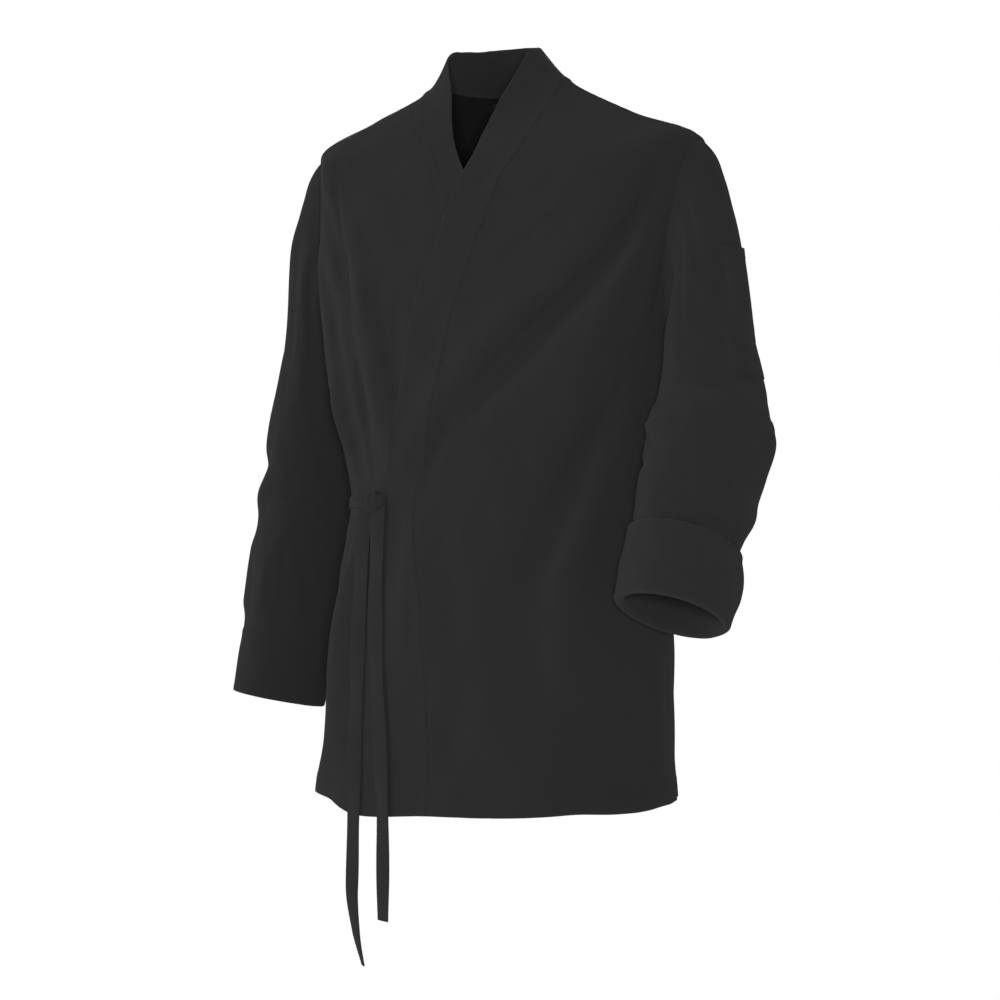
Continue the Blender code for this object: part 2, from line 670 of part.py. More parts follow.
def sleeve_surface(side, end_run, rings):
    """Rings of the sleeve's middle surface and its normals."""
    cap, seam_normal, away, reach = cap_lines(side)
    turn = np.linspace(0, 360, 2 * ARMHOLE_ROWS, endpoint=False)
    runs = np.linspace(0, end_run, rings + 1)[1:]
    tube = arm_ring(side, runs[:, None], turn[None, :] + 0 * runs[:, None])
    rows = np.concatenate([cap, tube])
    cap_run = -reach[None, :] * (1 - np.linspace(0, 1, CAP_RINGS + 1)[:, None])
    run = np.concatenate([cap_run, runs[:, None] + 0 * turn[None, :]])
    table = SLEEVE_LEFT_FOLDS if side > 0 else SLEEVE_RIGHT_FOLDS
    height = folds(table, turn[None, :] + 0 * run, run, SLEEVE_RADIUS)
    start_fade = ease(np.arange(len(rows)) / CAP_CALM_RINGS)[:, None]
    end_fade = ease((end_run - run) / CUFF_CALM_RUN)
    rows = rows + (height * start_fade * end_fade)[..., None] * grid_normals(rows, side)
    normal = grid_normals(rows, side)
    normal[0] = seam_normal
    rows[0] += 2 * SEAM_SETBACK * away
    return rows, normal


def flip_for(side, grid):
    """Left rings run one way round and right rings the other, so that faces point out."""
    return grid if side > 0 else grid[:, ::-1]


def make_sleeve(side):
    left = side > 0
    end_run = SLEEVE_LEFT_END if left else SLEEVE_RIGHT_END
    rings = SLEEVE_LEFT_RINGS if left else SLEEVE_RIGHT_RINGS
    rows, normal = sleeve_surface(side, end_run, rings)
    rows, normal = flip_for(side, rows), flip_for(side, normal)
    thickness = np.full(rows.shape[:2], PANEL_WALL)
    name = "sleeve_left" if left else "sleeve_right"
    return wall(name, rows, normal, thickness, ["last_row"], ring=True)


def make_cuff_right():
    """Plain cuff band that carries the right sleeve on."""
    turn = np.linspace(0, 360, 2 * ARMHOLE_ROWS, endpoint=False)[None, :]
    runs = np.linspace(SLEEVE_RIGHT_END, SLEEVE_RIGHT[-1][0], CUFF_RIGHT_ROWS + 1)[:, None]
    rows = arm_ring(-1, runs + 0 * turn, turn + 0 * runs)
    rows, normal = flip_for(-1, rows), flip_for(-1, grid_normals(rows, -1))
    thickness = np.full(rows.shape[:2], CUFF_WALL)
    return wall("cuff_right", rows, normal, thickness, ["first_row"], ring=True)


def make_cuff_left():
    """Wide cuff turned back over the sleeve: inside return, fold at the mouth, outer wall."""
    mouth = SLEEVE_LEFT[-1][0]
    bends = np.radians(np.linspace(0, 180, CUFF_LEFT_BENDS + 1))
    fold_run = mouth - CUFF_LEFT_FOLD
    inner_run = np.linspace(SLEEVE_LEFT_END, fold_run, CUFF_LEFT_INNER_ROWS + 1)[:-1]
    outer_run = np.linspace(fold_run, mouth - CUFF_LEFT_DEPTH, CUFF_LEFT_OUTER_ROWS + 1)[1:]
    run = np.concatenate([inner_run, fold_run + CUFF_LEFT_FOLD * np.sin(bends), outer_run])
    climb = (fold_run - outer_run) / CUFF_LEFT_DEPTH
    stand_off = np.concatenate([0 * inner_run, CUFF_LEFT_FOLD * (1 - np.cos(bends)),
                                2 * CUFF_LEFT_FOLD + CUFF_LEFT_FLARE * climb
                                + CUFF_LEFT_BULGE * np.sin(np.pi * climb) ** 2])
    turn = np.linspace(0, 360, 2 * ARMHOLE_ROWS, endpoint=False)[None, :]
    run, stand_off = run[:, None] + 0 * turn, stand_off[:, None] + 0 * turn
    rows = arm_ring(1, run, turn + 0 * run, stand_off)
    thickness = np.full(rows.shape[:2], CUFF_WALL)
    return wall("cuff_left", rows, grid_normals(rows, 1), thickness, ["first_row"], ring=True)


def make_arm_pocket():
    """Patch pocket on the outside of the left upper arm, moved out from the sleeve's points."""
    rows, normal = sleeve_surface(1, SLEEVE_LEFT_END, SLEEVE_LEFT_RINGS)
    columns = range(POCKET_COLUMNS[0], POCKET_COLUMNS[1] - 1, -1)
    wanted_z = np.linspace(POCKET_BOTTOM_Z, POCKET_TOP_Z, POCKET_ROWS + 1)
    middle = np.zeros((len(wanted_z), len(columns), 3))
    facing = np.zeros(middle.shape)
    for place, column in enumerate(columns):
        order = rows[:, column, 2].argsort()
        height = rows[order, column, 2]
        for k in range(3):
            middle[:, place, k] = np.interp(wanted_z, height, rows[order, column, k])
            facing[:, place, k] = np.interp(wanted_z, height, normal[order, column, k])
    facing = unit(facing)
    middle = middle + (PANEL_WALL / 2 + POCKET_GAP + POCKET_WALL / 2) * facing
    thickness = np.full(middle.shape[:2], POCKET_WALL)
    return wall("arm_pocket", middle, facing, thickness)


# --- ties and loop

def make_tie_waist():
    """Tie from the right side seam round the waist to the knot."""
    angle = np.linspace(*TIE_WAIST_ANGLES, TIE_ROWS)[None, :]
    level = TIE_WAIST_LEVEL + TIE_WIDTH * np.array([-0.5, 0.5])[:, None]
    rise = ease((angle - TIE_RISE_ANGLE) / (TIE_WAIST_ANGLES[1] - TIE_RISE_ANGLE))
    lift = PANEL_WALL / 2 + TIE_WALL / 2 + TIE_GAP + TIE_RISE * rise + 0 * level
    return torso_wall("tie_waist", angle + 0 * level, level + 0 * angle, TIE_WALL, lift)


def form_front(x, z):
    """Y of the torso's form at x and z, on the front."""
    angle, level = np.meshgrid(np.linspace(-50, 10, 121), np.linspace(-20, 330, 176))
    points = torso(angle, level)
    lowest = points[0, :, 2].max()
    depth = []
    for px, pz in zip(x, z):
        gap = np.hypot(points[..., 0] - px, points[..., 2] - max(pz, lowest))
        depth.append(points[np.unravel_index(gap.argmin(), gap.shape)][1])
    return np.array(depth)


def make_tail(name, table, facing_angle):
    """A free end of a tie: a flat strip that hangs, and turns as it goes down."""
    rows = np.array(table, float)[::-1]
    z = np.linspace(rows[0, 0], rows[-1, 0], TIE_ROWS + 1)
    x, stand_off, turn = (read(rows, TAIL_COLUMNS, name, z) for name in TAIL_COLUMNS[1:])
    y = form_front(x, z)
    calm = 2 * TAIL_CALM + 1
    y = np.convolve(np.pad(y, TAIL_CALM, mode="edge"), np.full(calm, 1 / calm), mode="valid")
    middle = np.stack([x, y, z], -1)
    facing_angle = np.radians(facing_angle)
    facing = np.array([np.sin(facing_angle), -np.cos(facing_angle), 0.0])
    side = np.array([-facing[1], facing[0], 0.0])
    middle = middle + stand_off[:, None] * facing
    turn = np.radians(turn)[:, None]
    across = np.cos(turn) * side + np.sin(turn) * facing
    normal = np.cos(turn) * facing - np.sin(turn) * side
    share = np.array([-0.5, 0, 0.5])[None, :, None]
    grid = middle[:, None, :] + TIE_WIDTH * share * across[:, None, :]
    normal = np.repeat(normal[:, None, :], 3, axis=1)
    return wall(name, grid, normal, np.full(grid.shape[:2], TIE_WALL))


def make_knot():
    """The knot: a rounded lump with the wrap that crosses it."""
    angle, level = np.array([float(KNOT_CENTRE_ANGLE)]), np.array([float(KNOT_LEVEL)])
    outward = normals_of(torso_base, angle, level)[0]
    centre = torso(angle, level)[0] + KNOT_STAND_OFF * outward
    up = unit(np.array([0, 0, 1.0]) - outward[2] * outward)
    across = np.cross(outward, up)
    points, rings, sectors = [], KNOT_RINGS, KNOT_SECTORS
    for ring in range(1, rings):
        lat = np.pi * ring / rings - np.pi / 2
        for sector in range(sectors):
            lon = 2 * np.pi * sector / sectors
            wrap = 1 + KNOT_WRAP * np.cos(2 * lon + KNOT_TWIST * np.sin(lat))
            shape = np.array([np.cos(lat) * np.cos(lon), np.cos(lat) * np.sin(lon), np.sin(lat)])
            shape = np.sign(shape) * np.abs(shape) ** KNOT_BLUNTNESS * wrap
            points.append(centre + KNOT_HALF[0] * shape[0] * across
                          + KNOT_HALF[1] * shape[1] * outward + KNOT_HALF[2] * shape[2] * up)
    points += [centre - KNOT_HALF[2] * up, centre + KNOT_HALF[2] * up]
    low, high = len(points) - 2, len(points) - 1
    triangles = []
    for sector in range(sectors):
        beside = (sector + 1) % sectors
        triangles.append((low, beside, sector))
        top = (rings - 2) * sectors
        triangles.append((high, top + sector, top + beside))
        for ring in range(rings - 2):
            a, b = ring * sectors + sector, ring * sectors + beside
            triangles.append((a, b, b + sectors))
            triangles.append((a, b + sectors, a + sectors))
    return add_solid("tie_knot", points, triangles)


def make_hanger_loop():
    """Narrow loop along the inside of the back neck, moved in from the back's points."""
    angle = np.linspace(*LOOP_ANGLES, LOOP_COLUMNS)[None, :]
    level = np.array(LOOP_LEVELS, float)[:, None]
    return torso_wall("hanger_loop", angle + 0 * level, level + 0 * angle, LOOP_WALL, LOOP_OFFSET)


def build():
    for item in list(bpy.data.objects):
        bpy.data.objects.remove(item, do_unlink=True)
    make_back()
    for side in (1, -1):
        make_front(side)
        make_band(side)
        make_sleeve(side)
    make_cuff_left()
    make_cuff_right()
    make_arm_pocket()
    make_tie_waist()
    make_knot()
    make_tail("tie_tail_long", TAIL_LONG, TAIL_LONG_FACING)
    make_tail("tie_tail_short", TAIL_SHORT, TAIL_SHORT_FACING)
    make_hanger_loop()


build()
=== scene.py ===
import bpy
import numpy as np
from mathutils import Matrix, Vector


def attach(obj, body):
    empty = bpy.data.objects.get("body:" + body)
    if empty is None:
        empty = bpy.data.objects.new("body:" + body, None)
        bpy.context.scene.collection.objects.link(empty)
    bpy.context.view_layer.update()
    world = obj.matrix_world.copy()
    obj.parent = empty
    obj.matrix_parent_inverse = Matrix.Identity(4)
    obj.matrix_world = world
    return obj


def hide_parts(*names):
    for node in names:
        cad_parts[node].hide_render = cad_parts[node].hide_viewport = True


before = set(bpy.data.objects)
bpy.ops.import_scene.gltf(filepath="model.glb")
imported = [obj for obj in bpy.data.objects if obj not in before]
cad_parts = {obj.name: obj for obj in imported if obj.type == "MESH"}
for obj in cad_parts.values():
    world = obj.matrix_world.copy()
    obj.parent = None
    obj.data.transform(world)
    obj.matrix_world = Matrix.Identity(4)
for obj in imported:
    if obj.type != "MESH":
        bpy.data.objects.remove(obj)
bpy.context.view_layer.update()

mm = 0.001

# everything is worked out in millimetres and degrees, and becomes metres in each mesh
# angle is round the body: 0 front, 90 wearer's left, -90 right, 180 back
# level is the height along the body, 0 at the hem


def hermite(start, leaving, end, arriving, t):
    return (start * (1 + 2 * t) * (1 - t) ** 2 + leaving * t * (1 - t) ** 2
            + end * t * t * (3 - 2 * t) + arriving * t * t * (t - 1))


def smooth(xs, ys, x):  # cubic through rows that never overshoots
    xs, ys = np.asarray(xs, float), np.asarray(ys, float)
    step = np.diff(xs)
    slope = np.diff(ys) / step
    same = slope[1:] * slope[:-1] > 0
    total = np.where(same, slope[1:] + slope[:-1], 1)
    inner = np.where(same, 2 * slope[1:] * slope[:-1] / total, 0)
    tangent = np.concatenate([slope[:1], inner, slope[-1:]])
    x = np.clip(x, xs[0], xs[-1])
    i = np.clip(np.searchsorted(xs, x) - 1, 0, len(step) - 1)
    return hermite(ys[i], tangent[i] * step[i], ys[i + 1], tangent[i + 1] * step[i],
                   (x - xs[i]) / step[i])


def readColumn(table, name, at):
    rows = np.array(table["rows"], float)
    return smooth(rows[:, 0], rows[:, table["columns"].index(name)], at)


def readRow(table, at):  # every column but the first
    return {name: readColumn(table, name, at) for name in table["columns"][1:]}


def towards(first, last, share):
    return first + (last - first) * share


def ease(value):
    value = np.clip(value, 0, 1)
    return value * value * (3 - 2 * value)


def bell(value, at, width):
    return np.exp(-((value - at) / width) ** 2)


def unit(vectors):
    return vectors / np.linalg.norm(vectors, axis=-1, keepdims=True)


def halfTurn(angle):
    return (np.asarray(angle, float) + 180) % 360 - 180


rippleForm = {"driftLength": 4.3, "swellLength": 6.7, "swell": 0.38, "swellPhase": 2.1}


def ripple(value, length, drift, phase=0.0):  # uneven wave, so that puckers never repeat alike
    form, turn = rippleForm, 2 * np.pi * value / length
    wave = np.sin(turn + drift * np.sin(turn / form["driftLength"] + phase) + phase)
    swell = np.sin(turn / form["swellLength"] + form["swellPhase"] * phase)
    return wave * (1 - form["swell"] + form["swell"] * swell)


# folds and creases run from one place to another; height above 0 is a ridge; lean steepens one side
# a row: start angle and place, end angle and place, bow, height, start and end width, lean
foldTaper = {"fold": 0.3, "crease": 0.45, "lean": 0.55}


def foldHeights(table, angle, along, radius, taper=foldTaper["fold"]):
    total = np.zeros(np.broadcast(angle, along).shape)
    for row in table:
        startAngle, start, endAngle, end, bow, height, startWidth, endWidth, lean = (*row, 0)[:9]
        across, up = np.radians(halfTurn(angle - startAngle)) * radius, along - start
        line = np.array([np.radians(endAngle - startAngle) * radius, end - start])
        length = np.linalg.norm(line)
        line = line / length
        t = (across * line[0] + up * line[1]) / length
        inside = np.clip(t, 0, 1)
        side = across * line[1] - up * line[0] - bow * np.sin(np.pi * inside)
        width = towards(startWidth, endWidth, inside)
        width = width * (1 - foldTaper["lean"] * lean * np.tanh(side / width))
        fade = ease((t + taper / 5) / taper) * ease((1 + taper / 5 - t) / taper)
        total = total + height * fade * bell(side, 0, width)
    return total


def slackHeights(waves, angle, along):  # waves round, waves per metre of length, height, phase
    return sum(height * np.sin(np.radians(angle) * count + 2 * np.pi * rate * along * mm + phase)
               for count, rate, height, phase in waves)


torsoForm = {
    "columns": ("level", "halfLeft", "halfRight", "sideY", "leftZ", "rightZ",
                "frontDepth", "frontZ", "backDepth", "backZ"),
    "rows": (
        (-20, 176, 198, 0, -726, -726, 139, -738, 131, -728),
        (0, 176, 196, 0, -706, -706, 138, -718, 130, -708),
        (60, 176, 183, 0, -648, -648, 134, -657, 127, -650),
        (140, 176, 181, 0, -570, -570, 130, -576, 122, -570),
        (220, 170, 170, 0, -492, -492, 125, -497, 115, -492),
        (265, 166, 160, 0, -448, -448, 120, -451, 111, -448),
        (300, 165, 155, 0, -414, -414, 118, -415, 110, -414),
        (340, 167, 162, 0, -374, -374, 119, -375, 111, -374),
        (400, 173, 177, 1, -316, -316, 121, -317, 114, -316),
        (475, 185, 186, 2, -246, -246, 122, -250, 118, -246),
        (570, 199, 199, 6, -152, -148, 118, -186, 112, -152),
        (666, 206, 206, 10, -65, -59, 105, -121, 96, -84),
        (740, 141, 141, -1, -36, -28, 77, -79, 86, -45), (812, 71, 71, -12, 0, 0, 52, -38, 72, -4),
        (856, 35, 38, -23, 36, 38, 42, 14, 61, 43),
    ),
    "squareness": 0.03,
    "foldRadius": 150,
    "armpitLevel": 475, "shoulderLevel": 666, "neckLevel": 812, "bandTurnLevel": 350,
    "upperRun": 275,        # length of the lines above the armpit, for the mesh
    "cutSteps": 600,        # how finely the lines of the cut are walked
    "frontArmhole": 17,     # degrees forward of the side
    "backArmhole": 24,
    "armholeRoundness": 0.35,
    "neckCrowding": 1.35,
    "backFlare": 1.4,
    "backCorner": 7 / 26,   # share of the back's width from armhole to neck
    "calm": (790, 90, 0.35),    # the yoke and the band's stand lie smoother above this level
    "slack": ((9, 2.1, 0.55, 0.4), (14, -3.4, 0.42, 1.9), (23, 5.2, 0.28, 3.1),
              (31, -8.5, 0.2, 0.8), (17, 9.0, 0.22, 4.4), (41, 13.0, 0.12, 2.6)),
}

hemForm = {
    "columns": ("angle", "level"),
    "rows": ((-180, 0), (-90, 4), (-45, 4), (-26, -6), (0, 1), (40, 0), (72, -6), (90, -4),
             (180, 0)),
}

lapForm = {
    "lift": 2.7, "fullAngle": 38, "endAngle": 84, "fullLevel": 718, "endLevel": 800,
    "tuck": 3.0, "tuckAngles": (6, 20), "tuckFade": 40,
}

mainFolds = (
    (57, 655, -22, 318, -12, 9, 34, 15), (68, 650, -10, 340, -14, -9, 32, 16),
    (69, 620, 33, 340, 8, 6, 24, 26), (60, 420, 24, 215, -6, -7, 26, 30),
    (24, 235, 28, 20, 0, -6, 30, 32), (78, 420, 31, 195, -6, 6, 24, 26),
    (81, 170, 84, -15, 0, 5, 26, 32), (63, 110, 41, -20, 0, -8, 22, 36),
    (2, 95, 16, 5, 0, -4, 18, 22), (-55, 705, -31, 560, 4, 6, 20, 17),
    (-31, 575, -22, 345, 4, 7, 17, 12), (-43, 680, -31, 330, 6, -7, 20, 12),
    (-67, 600, -46, 322, 6, 6, 24, 15), (-56, 560, -39, 326, 0, -5, 16, 12),
    (-39, 286, -56, -10, 0, 5, 15, 30), (-31, 286, -40, 10, 0, -6, 13, 24),
    (-66, 270, -76, 0, 0, -6, 20, 28), (-8, 300, -6, 120, 6, 4, 18, 24),
    (112, 590, 168, 320, 10, 8, 30, 28), (126, 520, 176, 250, 8, -7, 26, 26),
    (246, 600, 205, 330, -10, 8, 28, 26), (258, 500, 222, 280, -8, -7, 22, 22),
    (150, 300, 144, -15, 0, 8, 24, 34), (174, 280, 178, -15, 0, -6, 24, 34),
    (206, 300, 212, -15, 0, 8, 24, 34), (236, 290, 240, -15, 0, -6, 22, 30),
    (118, 260, 112, -15, 0, -6, 24, 32),
)

creases = (
    # left front: the long drag line from the armhole down to the knot, and what runs beside it
    (66, 648, 0, 381, 0, -4.4, 6, 8, 0.5), (33, 514, -5, 360, -1, -2.8, 3.6, 3.2, 0.4),
    (3, 392, -7, 325, 0, -2.6, 6, 4, 0.3), (58, 648, 8, 430, -4, 2.0, 7, 7, -0.5),
    (71, 630, 40, 420, 5, 2.5, 7, 9, 0.4), (30, 627, 12, 565, 0, -1.3, 3, 4, 0.2),
    (33, 640, 16, 585, 2, 0.9, 5, 5, 0), (71, 600, 68, 425, -4, -3.1, 5, 6, -0.4),
    (67, 545, 62, 440, 0, 1.4, 5, 6, 0), (64, 430, 52, 370, 0, -2.9, 5, 6, 0.5),
    (56, 400, 34, 290, 3, -2.6, 4, 5, 0.5), (33, 295, 24, 205, 3, -2.1, 5, 9, 0.3),
    (59, 470, 36, 322, 3, 2.0, 6, 8, -0.4), (72, 380, 46, 205, 4, -2.2, 6, 11, 0.2),
    (38, 305, 26, 150, 0, -2.0, 10, 16, 0), (27, 398, 24, 300, 0, -1.4, 7, 8, 0),
    (70, 400, 77, 308, 0, -2.6, 6, 6, 0), (57, 340, 72, 268, 0, -2.2, 8, 9, 0),
    (20, 372, 10, 302, 0, 1.0, 5, 6, 0.3), (9, 706, -1, 660, 0, -1.2, 4, 4, 0),
    (83, 806, 47, 742, 5, -2.0, 3, 5, 0.4), (76, 800, 44, 728, 5, 1.0, 4, 5, 0),
    (84, 745, 71, 712, 0, -1.4, 3, 4, 0.3), (33, 712, 14, 608, 0, -1.2, 7, 8, 0),
    (54, 242, 43, 24, 3, -2.2, 10, 18, 0.2), (33, 216, 25, 84, 0, -1.7, 9, 14, 0),
    (12, 250, 15, 60, 4, 1.2, 8, 12, 0), (2, 260, 4, 130, 0, -1.0, 5, 7, 0),
    (66, 160, 58, 10, 0, 1.3, 9, 14, 0),
    # right front: pleats that draw together at the knot
    (-45, 680, -37, 470, -3, -2.5, 5, 4, 0.3), (-37, 475, -31, 306, 2, -2.6, 4, 3.5, 0.4),
    (-30, 572, -20, 396, 2, 2.3, 5, 4, -0.4), (-25, 520, -18, 380, 0, 2.0, 4, 3.5, 0.3),
    (-18, 388, -22, 318, 0, 1.6, 3.5, 3, 0), (-22, 500, -17, 372, 0, -1.8, 3.5, 3.5, 0.2),
    (-55, 440, -43, 314, 3, 2.5, 6, 4, 0.4), (-29, 410, -24, 322, 0, 1.6, 3, 2.5, 0),
    (-27, 430, -27, 320, 0, -1.4, 3, 2.5, 0), (-15, 548, -17, 398, 0, -1.7, 5, 5, 0),
    (-46, 692, -33, 670, 0, 1.0, 3, 3, 0), (-64, 545, -52, 400, 3, -2.2, 7, 5, 0.3),
    (-52, 402, -44, 318, 0, -1.8, 4, 3, 0), (-36, 640, -26, 560, 0, 1.4, 6, 5, 0),
    (-34, 516, -30, 318, 2, -2.0, 4, 3, 0.3), (-74, 470, -52, 330, 5, -2.0, 8, 4, 0.2),
    (-80, 430, -60, 316, 4, 1.7, 8, 5, 0.2), (-12, 700, -20, 600, 0, -0.9, 5, 6, 0),
    (-58, 640, -70, 540, 0, -1.4, 6, 8, 0.2),
    # below the knot
    (-24, 288, -19, 108, 2, -2.3, 4, 9, 0.3), (-40, 285, -50, 96, 0, 2.1, 5, 12, 0),
    (-14, 292, -11, 150, 0, 1.3, 4, 8, 0), (-46, 284, -62, 130, 0, -1.7, 4, 10, 0.3),
    (-56, 284, -80, 150, 0, 1.4, 5, 12, 0), (-32, 200, -34, 20, 0, -1.4, 6, 10, 0),
    (-70, 200, -86, 20, 0, 1.6, 9, 14, 0),
    # right side and back, alike but not seen in front
    (-88, 468, -70, 396, 0, -2.0, 6, 6, 0.3), (-98, 452, -78, 372, 3, 1.6, 6, 7, 0),
    (-92, 322, -64, 300, 0, -2.0, 6, 4, 0.3), (-104, 305, -84, 292, 0, 1.6, 6, 5, 0),
    (112, 604, 142, 468, 6, -2.5, 6, 8, 0.4), (117, 566, 150, 420, 6, 2.0, 7, 8, 0.2),
    (106, 520, 128, 410, 4, -1.8, 6, 7, 0.3), (250, 602, 222, 476, -6, -2.3, 6, 8, -0.4),
    (245, 560, 214, 428, -6, 1.8, 7, 8, 0), (256, 512, 236, 404, -4, -2.0, 6, 7, -0.3),
    (140, 700, 149, 560, 0, -1.2, 8, 9, 0), (222, 694, 211, 545, 0, 1.2, 8, 9, 0),
    (176, 640, 182, 470, 4, -1.0, 9, 10, 0), (146, 334, 172, 318, 2, -1.6, 5, 6, 0.3),
    (184, 350, 216, 330, 3, -1.7, 5, 6, 0.3), (196, 322, 224, 312, 2, 1.2, 5, 6, 0),
    (128, 352, 150, 338, 2, 1.2, 5, 6, 0), (100, 470, 116, 376, 0, -1.6, 6, 7, 0),
    (160, 250, 156, 40, 0, -1.4, 8, 14, 0), (192, 240, 197, 30, 0, 1.6, 8, 14, 0),
    (222, 250, 228, 40, 0, -1.6, 8, 13, 0), (128, 230, 122, 30, 0, 1.3, 8, 13, 0),
    (254, 260, 258, 60, 0, 1.4, 8, 13, 0), (150, 806, 158, 770, 0, -1.0, 4, 5, 0),
    (210, 808, 203, 768, 0, -1.0, 4, 5, 0), (262, 800, 300, 744, 4, -1.6, 4, 5, 0.2),
)

settling = (   # broad soft hollows and swells between the main folds
    (66, 640, 4, 372, -8, -7.5, 24, 10, -0.4), (58, 560, 37, 352, 0, 2.6, 12, 14),
    (55, 384, 23, 190, -4, -6.5, 15, 18, -0.4), (24, 190, 52, 18, 4, -6.0, 18, 26, -0.3),
    (8, 130, 0, 28, 0, -4.0, 12, 18), (56, 340, 63, -20, 0, -9.5, 29, 37, 0),
    (14, 330, 1, 190, 4, 2.2, 24, 22), (78, 172, 80, 18, 0, 2.6, 12, 16),
    (88, 716, 46, 704, 0, -1.6, 10, 12), (110, 600, 150, 380, 6, -2.6, 20, 18),
    (252, 600, 214, 380, -6, 2.4, 20, 18), (170, 470, 176, 360, 0, -2.2, 26, 22),
    (140, 240, 150, 20, 0, -2.4, 18, 24), (218, 240, 226, 20, 0, 2.2, 18, 24),
)


def torsoBase(angle, level):
    angle, level = np.broadcast_arrays(np.asarray(angle, float), np.asarray(level, float))
    size = readRow(torsoForm, level)
    turn = np.radians(angle)
    square = torsoForm["squareness"]
    across = (np.sin(turn) + square * np.sin(3 * turn)) / (1 - square)
    forward = (np.cos(turn) - square * np.cos(3 * turn)) / (1 - square)
    half = np.where(across >= 0, size["halfLeft"], size["halfRight"])
    depth = np.where(forward >= 0, size["frontDepth"], size["backDepth"])
    sideZ = np.where(across >= 0, size["leftZ"], size["rightZ"])
    rise = np.where(forward >= 0, size["frontZ"], size["backZ"]) - sideZ
    return np.stack([half * across, size["sideY"] - depth * forward,
                     sideZ + rise * np.cos(turn) ** 2], -1)


def normalsOf(surface, angle, level):
    turn, climb = 0.6, 2.0
    level = np.clip(level, torsoForm["rows"][0][0] + climb, torsoForm["rows"][-1][0] - climb)
    around = surface(angle + turn, level) - surface(angle - turn, level)
    up = surface(angle, level + climb) - surface(angle, level - climb)
    return unit(np.cross(around, up))


def torso(angle, level):
    height = foldHeights(mainFolds, angle, level, torsoForm["foldRadius"])
    return torsoBase(angle, level) + height[..., None] * normalsOf(torsoBase, angle, level)


def torsoCreases(angle, level):
    fine = (foldHeights(creases, angle, level, torsoForm["foldRadius"], foldTaper["crease"])
            + foldHeights(settling, angle, level, torsoForm["foldRadius"]))
    top, depth, share = torsoForm["calm"]
    calm = towards(share, 1, ease((top - level) / depth))
    return fine + calm * slackHeights(torsoForm["slack"], angle, level)


def hemLevel(angle):
    return readColumn(hemForm, "level", halfTurn(angle))


bandColumns = ("seamLevel", "seamAngle", "edgeLevel", "edgeAngle")
bandForms = {   # 1 is the wearer's left side, -1 the right
    1: {"columns": bandColumns, "rows": (
        (0, -2.5, 0, -14), (108, -4, 109, -17), (207, -6.5, 205, -20.5), (301, -11.5, 301, -27.5),
        (330, -8, 330, -23.5), (392, -3.5, 394, -16.5), (447, -0.3, 453, -13),
        (525, 3.3, 538, -8.5),
        (611, 7.4, 620, -3.5), (652, 9.3, 667, -2), (690, 11.2, 712, 0), (713, 15, 740, 2.2),
        (736, 21, 778, 5.2), (758, 27.5, 806, 12), (775, 36, 824, 24), (790, 51, 832, 38),
        (804, 75, 842, 64), (812, 90, 848, 82),
    )},
    -1: {"columns": bandColumns, "rows": (
        (0, -5.5, 0, -18), (108, -6.5, 109, -21), (205, -8.5, 205, -24), (301, -9.5, 301, -27),
        (360, -5.5, 360, -23), (394, -3.8, 394, -21), (447, -2, 453, -18), (525, 0.5, 538, -13.5),
        (600, 3, 622, -9), (650, 4.6, 668, -5), (694, 8.6, 712, 0), (720, 12.5, 742, 4),
        (744, 19, 779, 10.5), (763, 27, 812, 20), (778, 38, 832, 28), (791, 54, 842, 42),
        (804, 76, 847, 62), (812, 90, 850, 78),
    )},
}
collarColumns = ("seamAngle", "edgeAngle", "edgeLevel")
collarForms = {
    1: {"columns": collarColumns,
        "rows": ((90, 82, 848), (120, 116, 854), (150, 148, 856), (180, 180, 856))},
    -1: {"columns": collarColumns,
         "rows": ((90, 78, 850), (120, 114, 854), (150, 148, 856), (180, 180, 856))},
}


def lapLift(angle, level):  # the left front rides over the right one
    form = lapForm
    angles, levels = form["endAngle"] - form["fullAngle"], form["endLevel"] - form["fullLevel"]
    roundIt = 1 - ease((halfTurn(angle) - form["fullAngle"]) / angles)
    up = 1 - ease((level - form["fullLevel"]) / levels)
    return form["lift"] * roundIt * up


def tuckIn(angle, level):  # and the right one draws back under it
    beyond = halfTurn(angle) - readColumn(bandForms[1], "edgeAngle", level)
    first, whole = lapForm["tuckAngles"]
    hidden = ease((beyond - first) / (whole - first))
    return -lapForm["tuck"] * hidden * ease((lapForm["fullLevel"] - level) / lapForm["tuckFade"])


def partWay(angle, level, shares, crowding=1.0):  # places along a line of the cut, by its length
    steps = np.linalg.norm(np.diff(torsoBase(angle, level), axis=0), axis=1)
    run = np.concatenate([[0], np.cumsum(steps)])
    wanted = run[-1] * (1 - (1 - shares) ** crowding)
    return np.interp(wanted, run, angle), np.interp(wanted, run, level)


def armholeLine(reach, shares):
    t = np.linspace(0, 1, torsoForm["cutSteps"])
    angle = reach * np.sin(np.pi * t) ** torsoForm["armholeRoundness"]
    level = towards(torsoForm["armpitLevel"], torsoForm["shoulderLevel"], t)
    return partWay(90 + angle, level, shares)


def sideLine(side, reach):
    hem = hemLevel(90 * side)
    angle, level = armholeLine(reach, highShares)
    return (np.concatenate([np.full(len(lowShares), 90.0), angle]),
            np.concatenate([towards(hem, torsoForm["armpitLevel"], lowShares), level]))


def bandLines(side):
    table = bandForms[side]
    dense = np.linspace(torsoForm["bandTurnLevel"], torsoForm["neckLevel"], torsoForm["cutSteps"])
    angle = readColumn(table, "seamAngle", dense)
    upper = partWay(angle, dense, highShares, torsoForm["neckCrowding"])[1]
    rise = torsoForm["armpitLevel"] - torsoForm["bandTurnLevel"]
    level = np.concatenate([torsoForm["armpitLevel"] * lowShares - rise * lowShares ** 2, upper])
    rows = readRow(table, level)
    return side * rows["seamAngle"], level, side * rows["edgeAngle"], rows["edgeLevel"]


